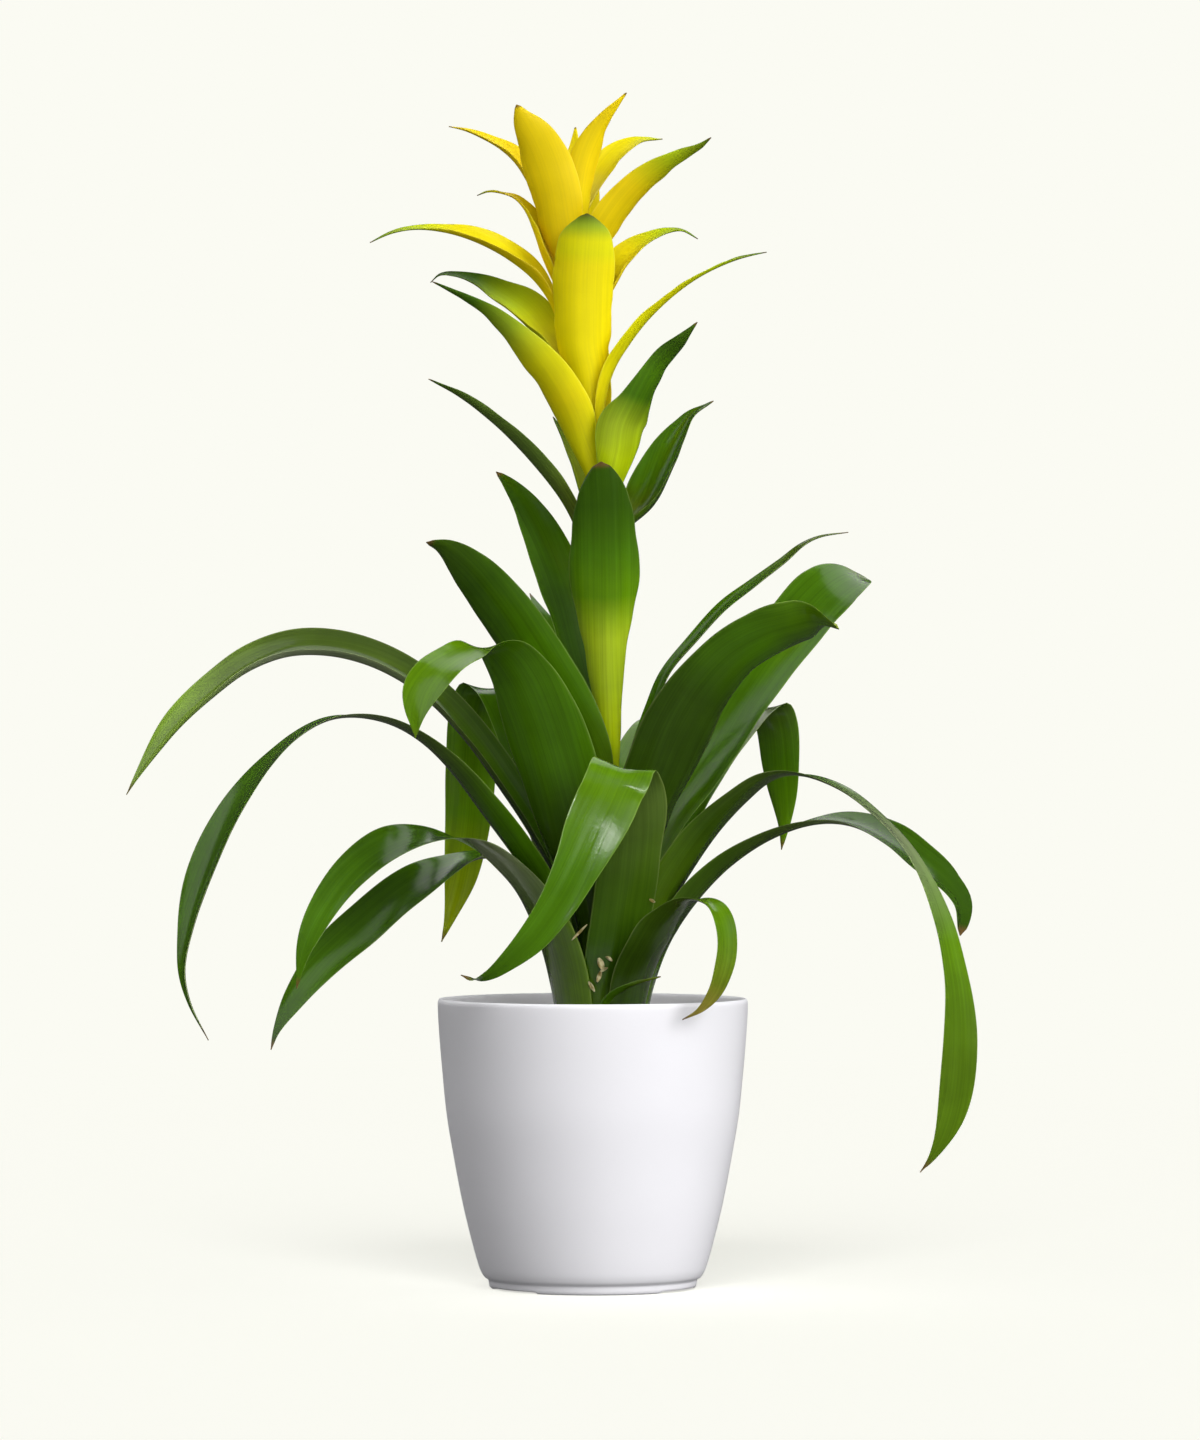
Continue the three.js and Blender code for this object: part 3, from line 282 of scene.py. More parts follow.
def newPiece(name, points, faces, material, node=None):
    # a piece of the plant from points in millimetres; it takes the place of the node, if there is
    # one, and all that the piece is rides the root
    piece = newObject(name, points * mm, faces, material, "plant")
    if node:
        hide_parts(node)
    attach(piece, "root")
    return piece


def facesOut(points, faces):
    # the faces turned so that the volume under them comes out positive
    p = np.asarray(points)[faces]
    volume = np.einsum("ij,ij->i", p[:, 0], np.cross(p[:, 1], p[:, 2])).sum()
    volume += np.einsum("ij,ij->i", p[:, 0], np.cross(p[:, 2], p[:, 3])).sum()
    return faces if volume > 0 else faces[:, ::-1]


def ringFaces(rows, columns):
    # quads between neighbouring rows of closed rings
    i, j = np.meshgrid(np.arange(rows - 1), np.arange(columns), indexing="ij")
    k = (j + 1) % columns
    corners = [i * columns + j, i * columns + k, (i + 1) * columns + k, (i + 1) * columns + j]
    return np.stack(corners, -1).reshape(-1, 4)


def capFaces(first, columns):
    # quads across an even ring, each from two neighbours to the two that face them
    j = np.arange(columns // 2 - 1)
    return first + np.stack([j, j + 1, columns - 2 - j, columns - 1 - j], 1)


def closedFaces(rows, columns):
    # rows of rings with their first and last ring filled
    return np.vstack([ringFaces(rows, columns), capFaces(0, columns)[:, ::-1],
                      capFaces((rows - 1) * columns, columns)])


def closedPiece(name, rings, material, node):
    # a closed skin over rows of rings
    points = rings.reshape(-1, 3)
    faces = facesOut(points, closedFaces(*rings.shape[:2]))
    return newPiece(name, points, faces, material, node)


def manyFaces(one, forms):
    # the faces of one form for every form, each on its own points
    first = np.arange(len(forms)) * forms.shape[1]
    return (one + first[:, None, None]).reshape(-1, 4)


# Leaves and bracts: heading is the way a blade grows, in degrees from +X towards +Y; foot is its
# sheath's radius about the stem and the height that it grows from; sheath is half the sheath's
# width; line is where its middle goes; half (half the width), curl (middle to edge, in degrees) and
# roll (its turn about its line) are evenly spread from above the sheath to the tip, and end is the
# last half width; top and under are colours from foot to tip, and under is like top where it isn't
# given; blunt rounds the tip, and tail is how brown it is. What a blade lacks is in bladeRule.
bladeRule = {
    "leafSheath": 12, "bractSheath": 6.5, "sheathLimit": 65, "sheathEnd": 0.2,
    "end": 0.6, "curl": [65, 52, 38, 30, 24], "roll": [0, 0], "tail": 0.8,
    "thick": 1.0, "edge": 0.5, "tip": 0.3,  # thickness at the middle and edge, least half width
    "places": 1501, "step": 2.6, "moreRows": 24, "columns": 44,  # steps along and points around
    "tipStart": 0.94, "tipRows": 15, "narrowing": 0.985,
    "waves": (3.1, 5.3, 8.7), "waveStart": (0.2, 0.4), "waveEnd": (0.9, 1),
    "marginPlace": (0.962, 0.992), "margin": 0.5, "marginPale": 0.45, "marginOwn": 0.88,
    "tailPlace": (0.975, 0.992),
}

# In places the top and under colour runs paint shade, sheen and light: darker where a blade lies in
# shade, greyer or lighter where it catches the light.
leafShapes = {
    "leaf_front_fold": dict(heading=285, foot=(18, 122), sheath=15, line=[(10.5, -22, 155),
        (14.5, -28, 183), (18, -36, 209), (19.7, -45, 234.1), (18.2, -51.2, 251.5),
        (15.5, -60.8, 259.5), (12, -68.3, 254.9), (6.5, -72, 243), (-0.3, -76, 228.9),
        (-7.5, -79, 213), (-16.5, -81, 196), (-28.7, -82, 178.5), (-41, -82, 166.5),
        (-50.3, -81, 159.5), (-57.6, -80, 157), (-64.5, -79, 159)],
        half=[15, 16, 16, 16, 15.6, 17.4, 15.4, 16.2, 15, 11.8, 9.8, 7.8, 4.2],
        curl=[40, 26, 18, 2, 8, 16, 18], roll=[0, 0, -7, -15, 1, 0, 0],
        top="leaf bright leaf*2 bright leaf*2 deep", under="moss deep dark dusk*5", blunt=0.2),
    "leaf_front_low_right": dict(heading=306, foot=(20.5, 117), sheath=14, line=[(21.5, -24, 155),
        (30, -33, 173), (37.5, -42, 185.5), (44.5, -51, 193), (51, -58, 195), (57, -63, 193.8),
        (61.5, -67.5, 190), (64.8, -71, 182), (65.3, -73, 170.2), (63, -75, 159.4),
        (59.1, -75.5, 150.2), (52.4, -75.5, 142.1), (43.9, -75, 137)],
        half=[12, 13, 14, 14, 9.5, 6.5, 6.2, 6, 4.2], curl=[38, 28, 20, 20],
        top="deep leaf*2 bright*3 olive tan", under="moss shade*2 dark*2 dusk*2 tan"),
    "leaf_left_low": dict(heading=212, foot=(20.5, 117), sheath=15, line=[(-16, -13, 150),
        (-21, -17, 172), (-29.5, -23, 192), (-40.5, -31, 207), (-55.2, -42, 220),
        (-74.8, -55, 226.5), (-96.9, -68, 223.5), (-117.4, -79, 209.8), (-131.5, -86, 191.6),
        (-140, -90, 173.5), (-144.2, -92, 152.9)], half=[18.5, 17.5, 14, 12, 12, 11.5, 9, 6],
        curl=[42, 34, 20, 20, 22], roll=[0, 4, 6, -2, -36, -48, -40],
        # the grey-green on its underside is partly bloom and partly painted sheen on the rising
        # part
        top="deep leaf*3 deep*2 leaf*2", under="moss*3 waxy dusk*3 dark"),
    "leaf_left_drooping": dict(heading=188, foot=(19, 120), line=[(-16, -4, 155), (-21, -4, 178),
        (-31, -5, 200), (-42, -8, 212), (-55, -12, 215.2), (-73, -19, 210), (-92.9, -27, 198.6),
        (-112.7, -34, 182.3), (-132.5, -40, 164), (-147.4, -44, 145.2), (-155.8, -46, 130.3),
        (-158.8, -47, 121)], half=[13, 13, 13, 13, 13.5, 12.8, 11.8, 7.2],
        curl=[45, 34, 20, 20, 20], roll=[0, 0, 0, -4, -38, -54, -50, -40],
        top="deep leaf*3 deep*2 leaf deep", under="moss*2 dusk waxy*2 dusk dark*2"),
    "leaf_left_long": dict(heading=188, foot=(17.4, 123), line=[(-13.5, -4, 160), (-18.5, -5, 180),
        (-26.4, -6, 199), (-38.6, -9, 218), (-53.4, -12, 238.5), (-70.8, -16, 260.5),
        (-85.7, -19, 274), (-100.6, -22, 282), (-118, -25, 285.3), (-132, -28, 283.5),
        (-147.2, -31, 275.2), (-161, -34, 262), (-171.8, -36, 247), (-182, -38, 228.8),
        (-192.3, -40, 204.4), (-199, -41, 182), (-202.2, -42, 160), (-199, -43, 144),
        (-189.8, -44, 125.5)], half=[11, 13, 13, 11.5, 10.5, 11, 14.6, 12.5, 4.5],
        curl=[48, 50, 34, 12, 20, 40, 40], roll=[0, 14, 22, 8, -4, -20, -28, -8],
        # the lighter green low on its underside is painted light, and the grey-green along its
        # outer part is partly bloom and partly painted sheen
        top="deep leaf*6", under="moss leaf*2 dusk waxy*4"),
    "leaf_left_high": dict(heading=160, foot=(12.5, 133), line=[(-8.5, 8, 165), (-15, 13, 196),
        (-29.2, 18, 224.8), (-47.6, 24, 253.2), (-63, 29, 274.5), (-78.2, 33, 291),
        (-94.5, 38, 303.6), (-113, 42, 312.8), (-133.3, 46, 317.8), (-153.6, 50, 317.6),
        (-173.9, 54, 310.5), (-192, 58, 298), (-209.8, 62, 282.4), (-222.8, 65, 267),
        (-232.4, 68, 254), (-237.8, 70, 245.7)], half=[9, 12, 14, 13.5, 14.5, 15.5, 14.6, 11],
        curl=[60, 66, 68, 64, 54, 44], roll=[0, -8, -14, -20, -38, -48],
        # the darker greens along its lower half are painted shade, and the greys and the lighter
        # green towards the tip paint its grey gloss and the light on it
        top="deep leaf deep dark dusk*2 fresh*2", under="moss shade*2 dusk waxy frost fresh*2"),
    "leaf_left_back": dict(heading=108, foot=(15.9, 126.2), line=[(-7, 26, 175), (-16, 38, 210),
        (-28, 52, 247), (-38.5, 68, 278), (-48, 82, 296.5), (-55, 91, 299), (-59.5, 97, 288),
        (-61.5, 101, 262), (-63.8, 104, 230), (-68, 106, 202), (-73.5, 107, 182),
        (-78, 107, 169.5)], half=[9, 12, 13.5, 14, 13.5, 14.5, 13.5, 9.5],
        curl=[40, 30, 22, 22, 20], top="deep*2 leaf*2 bright*2",
        under="moss dark leaf*2 bright lime"),
    "leaf_left_fold": dict(heading=248, foot=(9.2, 141), line=[(-2.6, -10.2, 165), (-3, -14, 185),
        (-6.5, -18.5, 203), (-11, -24, 222), (-16, -29.5, 245), (-22.6, -36, 269.5),
        (-28.7, -42, 288), (-36, -48, 304.5), (-45.5, -55, 316.5), (-55, -61, 318.8),
        (-65, -67, 314.8), (-74.5, -73, 308.4), (-81.7, -78, 299.3), (-85.5, -81, 289),
        (-86.6, -82, 274.8)], half=[6.6, 9.6, 15.5, 20.5, 23, 22.5, 19, 15, 13.5, 11.5],
        # the shade greens low on its underside are painted shade
        curl=[58, 46, 34, 22, 18, 24], top="deep*2 leaf bright*4", under="moss shade*2 leaf*4",
        tail=0.2),
    "leaf_right_slim": dict(heading=20, foot=(8, 143.5), sheath=6.5, line=[(13.6, 3, 178),
        (16.6, 4.5, 223), (21.5, 6, 258), (30.2, 8, 289.2), (36.7, 9, 306.4), (50.7, 10, 323.4),
        (65.8, 11, 339.9), (81.4, 12, 352.1), (95.7, 13, 363), (105.6, 14, 371.7),
        (113.8, 15, 375.7), (128.3, 15, 378)], half=[6.5, 6, 6.5, 6.6, 5, 5.4, 5.4, 3.8],
        curl=[60, 50, 40, 36, 32, 24], roll=[0, 8, 14, 14, 8], top="lime moss leaf*3 olive",
        under="lime moss umber dusk waxy dusk"),
    "leaf_right_broad": dict(heading=318, foot=(11.2, 135.6), line=[(14.6, -9, 180),
        (21.3, -15, 213.9), (28.6, -21, 241.8), (36.1, -26, 260.9), (44.6, -32, 280.7),
        (56.1, -38, 299.3), (70.2, -43, 314.3), (86.5, -47, 323.9), (100.1, -50, 328.5),
        (111.5, -52, 331), (121.3, -54, 328.5)],
        half=[7.3, 8.3, 12, 16, 18.6, 19.6, 20.1, 18.3, 16.6, 17.8, 20.2], end=5,
        curl=[46, 40, 36, 32, 26], roll=[0, -8, -20, -30, -28, -14],
        # its underside runs dark through the middle as painted shade and brightens by the tip, and
        # its top brightens towards the tip as painted light
        top="deep leaf*3 bright*2 lime", under="moss dark shade*3 leaf bright", blunt=0.9,
        tail=0.2),
    "leaf_right_behind": dict(heading=46, foot=(12.6, 132.8), line=[(16.5, 9, 180),
        (25, 13.5, 208), (36.4, 18.5, 230), (49.9, 25, 249.7), (61.9, 31, 269.2),
        (74.2, 37, 290.3), (87.1, 43, 309.7), (99.9, 49, 326.3), (111.5, 55, 341),
        (121.5, 61.5, 350.8), (130, 69, 356), (137.5, 78, 357.5)],
        half=[7.3, 8.5, 11.5, 15.5, 17.3, 17.5, 17.8, 17.2, 17.1, 17.6, 17], end=7,
        curl=[55, 40, 26, 20, 18], roll=[0, 0, 4, 6, 12, 20, 26, 26],
        top="lime leaf bright leaf*4", under="moss dark*3 dusk waxy*2", blunt=0.7, tail=0.25),
    "leaf_right_back": dict(heading=66, foot=(17.6, 122.8), line=[(21, 23, 165), (33, 35, 205),
        (48, 50, 242), (66, 67, 270), (81, 81, 286.5), (89.5, 90, 289.3), (93.5, 95, 281),
        (96, 99, 260), (97.6, 102, 240), (98, 104, 228), (97, 105, 217)],
        half=[9, 11, 13, 13.5, 13.5, 13, 12, 8.5], curl=[40, 30, 22, 18, 18],
        top="deep leaf*3 waxy leaf*2", under="moss dark dusk waxy dusk leaf bright"),
    "leaf_right_long": dict(heading=340, foot=(15.6, 126.8), line=[(21.5, -5, 160),
        (30, -7.5, 183), (41.5, -12, 206), (56, -20, 228), (71.5, -29, 244), (86.5, -37, 254.5),
        (102.2, -45, 256.5), (121.5, -52, 250), (137.5, -57, 238.8), (152.8, -62, 223),
        (163.5, -66, 205), (171, -69, 184.8), (175.4, -71, 165), (178, -72, 147),
        (178.6, -73, 122.7), (176.5, -73, 98.5), (172, -73, 81.8), (166.3, -72, 69.9),
        (160.5, -71, 62)], half=[9.5, 13, 14, 12.5, 10.5, 8.5, 8.5, 9.5, 10, 11.3, 9.3],
        curl=[48, 40, 22, 12, 12, 14, 20, 22, 20], roll=[0, -22, -20, -8, 0, 2, 20, 36, 32],
        top="deep leaf*3 waxy bright moss*2", under="moss*2 dark dusk waxy*3 dusk"),
    "leaf_right_low": dict(heading=358, foot=(19.3, 119.4), line=[(29.5, -1.2, 150),
        (36.8, -2.5, 172), (47, -4, 189.5), (60.2, -8, 205), (72.7, -12, 215.3), (88, -16, 224.5),
        (105.3, -21, 231), (120.2, -25, 233), (134, -28, 231), (148.8, -31, 224.5),
        (161.5, -34, 214.5), (174, -36, 204), (182, -37, 193), (181.8, -38, 177)],
        half=[9, 11, 12, 11, 10, 10.5, 12.5, 13, 9.5], curl=[48, 44, 40, 32, 26, 22],
        roll=[0, -20, -26, -12, 16, 36, 32], top="deep leaf*4 deep*3",
        under="moss dark*3 dusk waxy dusk*2", blunt=0.9),
    "leaf_thin_front": dict(heading=272, foot=(22.4, 118), sheath=3, line=[(4, -27, 131),
        (5.4, -33, 142), (12.5, -40, 149.6), (23, -47, 154.3), (33.5, -52, 157.3)],
        half=[2.2, 2.4, 2.4, 2, 1.4], curl=[30, 30, 30], top="leaf*3 olive"),
    "leaf_back_left": dict(heading=112, foot=(9.3, 140.8), sheath=8, line=[(-1, 12, 180),
        (-4, 19, 220), (-10, 31, 262), (-17, 47, 298), (-24, 69, 322), (-30, 95, 326),
        (-35, 119, 308), (-38, 135, 276), (-39, 143, 240)], half=[6.5, 11.5, 15, 16, 15, 12, 7],
        curl=[60, 44, 32, 24, 20], top="deep leaf*2 bright leaf*2",
        under="moss dark*2 dusk*2 olive"),
    "leaf_back_right": dict(heading=80, foot=(14, 130), line=[(8, 19, 165), (10.5, 28, 205),
        (16, 43, 245), (26, 62, 266), (36, 84, 281), (42, 108, 277), (44, 127, 254),
        (44, 139, 222)], half=[9, 12, 14, 15, 14, 11, 7], curl=[44, 34, 26, 22, 20],
        top="deep leaf*2 bright leaf*2", under="moss dark*2 dusk*2 olive"),
    "leaf_back_low": dict(heading=94, foot=(20.4, 117.2), line=[(3.5, 30, 150), (3, 43, 183),
        (3, 60, 214), (3, 82, 238), (4, 107, 245), (5, 130, 232), (6, 147, 205), (6, 157, 172)],
        half=[11, 13, 14, 13, 12, 10, 6], curl=[42, 34, 26, 22, 20],
        top="deep leaf bright leaf*2 olive", under="moss dark dusk*2 waxy olive"),
}

bractShapes = {
    "bract_green_left_broad": dict(heading=226, foot=(5.5, 222), line=[(1.8, -6, 246),
        (-3, -9, 267), (-13.8, -14, 288.5), (-26.8, -20, 309.8), (-41, -27, 332),
        (-54, -32, 349.5), (-64.2, -36, 360.8), (-73.8, -39, 368.7), (-82.3, -42, 371.6)],
        half=[9, 13.5, 16.5, 16.8, 16, 14.3, 10.5], curl=[66, 48, 36, 30, 24],
        roll=[0, 8, 22, 30, 24], top="lime olive leaf*4", under="lime moss leaf*2 deep dark",
        blunt=0.4),
    "bract_green_left_behind": dict(heading=134, foot=(5.4, 240), line=[(2.5, 4, 270),
        (-3, 7, 296), (-9.5, 12, 322), (-14.5, 17, 343), (-20.6, 21, 362), (-28.1, 25, 380),
        (-35.7, 28, 393.6), (-42.7, 30, 403), (-48.8, 32, 409)], half=[8, 11, 14, 15, 13.5, 9],
        curl=[70, 50, 34, 26, 20], roll=[0, 0, -14, -18], top="lime leaf*3 deep",
        # the grey-green on its underside is partly bloom and partly painted sheen
        under="lime moss waxy*2 dusk dark", blunt=0.3),
    "bract_green_back_sliver": dict(heading=118, foot=(6.7, 190), line=[(3.8, 11.5, 228),
        (-3, 19, 262), (-11.5, 27, 291), (-19.5, 37, 316), (-26, 48, 336), (-32, 59, 348)],
        half=[6, 9, 11, 11, 8], curl=[70, 50, 34, 26, 20], top="lime leaf*3",
        under="lime moss dusk*2"),
    "bract_green_back_broad": dict(heading=82, foot=(5.8, 212), line=[(7, 8, 240), (6.2, 12, 268),
        (5.2, 18, 296), (4, 29, 324), (2, 44, 346), (0, 62, 356)], half=[6.5, 7.5, 9.5, 11, 10, 7],
        curl=[70, 50, 36, 28, 22], top="lime olive leaf*2", under="lime olive moss dark"),
    "bract_green_front": dict(heading=272, foot=(5.3, 256), line=[(8.3, -8.4, 272),
        (7.7, -10.5, 290), (6.8, -13, 308), (6.3, -16, 330), (6.1, -19, 351), (5.7, -22, 375),
        (5.2, -24.5, 395), (4.1, -26.5, 412)], half=[7.5, 9.5, 12.5, 16.5, 20, 18.5, 14],
        curl=[72, 72, 66, 58, 50, 40, 30], top="lime*2 chartreuse bright leaf*2",
        under="lime*2 chartreuse*2 bright leaf deep*2", blunt=0.6),
    "bract_green_left_slim": dict(heading=186, foot=(4.8, 347), line=[(-6.6, -1, 375.5),
        (-14.8, -2, 393), (-30.2, -3, 413.4), (-47, -4, 430.6), (-66.4, -5, 445.8),
        (-82, -6, 454)], half=[6.5, 9, 10, 9, 6.5, 4], curl=[65, 58, 50, 44, 30], roll=[0, 14, 20],
        top="lime leaf*3 dark", under="chartreuse olive dusk*2 dark"),
    "bract_green_right": dict(heading=12, foot=(4.75, 357), line=[(14.7, 1, 376.5),
        (27.4, 3, 390.6), (34.5, 5, 406.5), (39.8, 6, 419.7), (44.8, 7, 429.6), (49.4, 8, 436.4),
        (60.5, 9, 443.7)], half=[8, 13, 17, 14.5, 10, 4], curl=[65, 58, 54, 46, 30],
        roll=[0, 16, 34, 34], top="lime olive leaf*2 dark",
        under="chartreuse moss deep dusk dark"),
    "bract_green_right_front": dict(heading=312, foot=(4.6, 384), line=[(12.8, -8, 406.7),
        (15.5, -11, 418.6), (17.2, -14, 429.9), (22.2, -17, 440.6), (27.8, -20, 451.6),
        (35.2, -23, 463.2), (44.3, -25, 472.3), (51.9, -26, 481.3)],
        half=[8, 14, 16, 10.3, 7.1, 5.4], roll=[0, -6, -10, -10], top="lime*2 leaf*2 dark",
        under="lime*3 chartreuse leaf*2 deep dark"),
    "bract_back_low": dict(heading=150, foot=(4.65, 374), line=[(-4.5, 4.5, 395), (-9, 8, 411),
        (-14.5, 12, 425), (-20, 15, 436)], half=[7, 9, 8.5, 5.5], curl=[65, 52, 42, 34],
        top="lemon lime chartreuse leaf"),
    "bract_left_front": dict(heading=232, foot=(4.5, 402), line=[(-7.3, -7.4, 420.8),
        (-12.1, -12, 435.3), (-19.2, -17, 449.6), (-28.9, -22, 463.1), (-39.3, -26, 474.8),
        (-50.9, -30, 485.3), (-63.7, -33, 493.3), (-73.6, -35, 498), (-79.3, -36, 500.7)],
        half=[9, 13.4, 13, 11.3, 8.1, 5.3, 2.4], roll=[0, 6, 12, 14, 10],
        top="lemon*2 lime leaf dark", under="citron*2 lemon citron chartreuse leaf dark"),
    "bract_right_long": dict(heading=346, foot=(4.4, 424), line=[(6, -4, 444), (10.5, -6, 459),
        (18.5, -8, 472), (27.5, -10, 483.5), (41, -12, 496.2), (54, -14, 505.2),
        (67.5, -16, 511.6), (77.5, -17, 514.8), (86.5, -18, 516.5)],
        half=[7, 9.5, 10, 8.5, 6.5, 4.2, 2.4], curl=[65, 56, 50, 44, 36, 24], roll=[0, 8, 12],
        top="lemon*3 lime leaf", under="lemon*2 citron*2 lime leaf"),
    "bract_front": dict(heading=268, foot=(5, 438), line=[(-2.3, -8, 455), (-4.9, -11, 470),
        (-5.2, -14, 485), (-5, -16.5, 500), (-4.1, -19, 515), (-3.3, -21, 526),
        (-2.9, -22.5, 535.5)], half=[8, 12.5, 15.8, 17.4, 17.6, 17.6, 17.4, 16.4, 13],
        curl=[72, 70, 64, 56, 46, 36], top="lemon*5 leaf",
        under="lemon*12 citron*2 chartreuse dark", blunt=0.35, tail=0.3),
    "bract_back_mid": dict(heading=82, foot=(5, 398), line=[(1.5, 8, 432), (-0.5, 13, 454),
        (-2.5, 21, 475), (-4.5, 32, 492), (-5.5, 45, 502)], half=[7, 10, 11, 10, 7],
        top="lemon*3 lime", under="lemon citron*2 lime"),
    "bract_left_behind": dict(heading=158, foot=(4.9, 432), line=[(-13, 3, 455), (-18.9, 4, 469),
        (-28.4, 6, 480.3), (-36.1, 8, 488.6), (-47.9, 10, 496.6), (-57.9, 12, 503.1),
        (-68.7, 14, 507), (-76.9, 15, 507.2), (-81.5, 16, 503.5)],
        half=[8, 12.9, 16.4, 15.4, 10, 3.8], curl=[65, 56, 48, 42, 34], roll=[0, -12, -24, -20],
        top="lemon*2 citron lime leaf dark", under="lemon citron*4 chartreuse leaf dark"),
    "bract_left_long": dict(heading=186, foot=(4.5, 460), line=[(-15.5, 0, 478), (-21.5, 1.5, 493),
        (-30, 1.5, 504.8), (-42.5, -0.5, 515), (-57.8, -4, 523), (-73.2, -8, 527.4),
        (-88.5, -11, 528.6), (-101, -13, 526.2), (-111, -14, 521.5)],
        half=[5.5, 8, 13, 12, 9.5, 5, 2.6], curl=[65, 60, 58, 54, 46, 28],
        roll=[0, -10, -22, -20, -10], top="lemon*5 lime leaf", under="lemon gold*4 lime leaf"),
    "bract_right_small": dict(heading=20, foot=(4.6, 466), line=[(2, 2, 485), (7.5, 4, 498.5),
        (13.2, 5, 510.3), (22, 7, 520.6), (30.5, 8, 525.8), (38, 9, 528.6), (45, 10, 529.2),
        (52.7, 11, 525)], half=[7, 11, 12.5, 9, 5, 2.6], curl=[65, 58, 54, 46, 30],
        roll=[0, 14, 32, 20], top="lemon*4 lime leaf", under="lemon*2 gold lemon lime leaf"),
    "bract_left_small": dict(heading=178, foot=(4.2, 485), line=[(-20, 1.5, 504), (-25, 2.5, 516),
        (-28.3, 3, 527), (-32.6, 4, 537.8), (-38.8, 5, 545), (-46, 6, 547.8), (-52.5, 7, 548.5),
        (-58, 7, 546.5)], half=[5.5, 9, 11.5, 10, 5, 2], curl=[65, 58, 54, 44, 30],
        roll=[0, -8, -20, -6], top="lemon*2 gold lemon gold leaf"),
    "bract_back_high": dict(heading=92, foot=(4.7, 446), line=[(-2, 10, 472), (-4, 16, 492),
        (-8, 25, 511), (-13, 36, 526), (-18, 48, 533)], half=[5, 7, 9, 9, 6], top="lemon*3 lime",
        under="lemon gold lemon lime"),
    "bract_right_big": dict(heading=322, foot=(4.3, 488), line=[(-2, -6, 507), (3.2, -9, 520),
        (11, -12.5, 534), (21, -16, 546.4), (33.4, -19, 557), (45.9, -22, 564.2),
        (53.4, -24, 568.6), (58.8, -25, 573)], half=[7, 11, 12.5, 11, 9, 5.5],
        curl=[65, 52, 40, 34, 26], roll=[0, -8, -14, -10], top="lemon*3 gold*2 lime deep",
        under="lemon gold*3 lime deep"),
    "bract_top_left": dict(heading=252, foot=(4.3, 496), line=[(-14.5, -7, 517),
        (-17.5, -9.5, 533), (-20.2, -12, 549), (-24.5, -13, 562.8), (-29.6, -15, 574.2),
        (-34.8, -16, 583), (-38, -17, 590)], half=[7, 11.5, 13.5, 14.3, 13, 9],
        curl=[65, 54, 42, 34, 26], roll=[0, 0, 4, 6], top="lemon*3 gold*3", under="lemon gold*5",
        blunt=0.25),
    "bract_left_high": dict(heading=160, foot=(4.2, 503), line=[(-18.5, 4, 523), (-24, 6, 537.5),
        (-29.2, 8, 549.5), (-36.5, 10, 562), (-45.3, 12, 570.3), (-56, 14, 576.4),
        (-65, 15, 580.2), (-72.3, 16, 581.8)], half=[6, 9, 11.5, 11, 8, 4],
        curl=[65, 60, 54, 46, 32], roll=[0, -6, -12, -6], top="lemon gold*4"),
    "bract_top_right": dict(heading=286, foot=(3.95, 510), line=[(-7.4, -6.5, 532),
        (-6.6, -8.5, 548), (-4.4, -10, 561), (0.2, -12, 573.5), (6.8, -14, 584.3),
        (16.8, -16, 596)], half=[6, 7, 8, 8.2, 6.2, 3], curl=[65, 54, 42, 36, 28],
        top="lemon gold*4", under="lemon*2 gold*3"),
    "bract_right_high": dict(heading=44, foot=(3.8, 526), line=[(-4, 4, 539), (1, 6, 551),
        (7, 8, 561), (14.5, 10, 569), (23.5, 12, 574), (35, 13, 575.3)], half=[5, 8, 9, 7.5, 4.5],
        curl=[65, 58, 52, 42, 28], roll=[0, 8, 16, 8], top="pale*2 lemon*2 lime"),
    "bract_back_top": dict(heading=90, foot=(4, 492), line=[(-5.6, 8.5, 507), (-5, 14, 527),
        (-4, 21, 545), (-2, 30, 557), (2, 40, 562)], half=[5, 6.5, 9, 8, 5],
        curl=[65, 52, 40, 30, 24], top="lemon*4", under="lemon*2 gold lemon"),
    "bract_crown_left": dict(heading=140, foot=(3.9, 511), line=[(-14.5, 4.5, 534),
        (-16.8, 6.5, 550), (-19, 9, 566), (-20.5, 11.5, 578.5)], half=[4, 5, 6, 5, 3],
        curl=[65, 56, 48, 36, 28], top="pale lemon*2"),
    "bract_crown_right": dict(heading=66, foot=(3.6, 534), line=[(-10, 4.5, 548), (-9.5, 6.5, 559),
        (-9, 8.5, 570), (-8.7, 10, 581)], half=[4, 4.5, 5, 4.5, 2.5], curl=[65, 56, 48, 36, 28],
        top="pale lemon*2", under="pale lemon gold"),
}


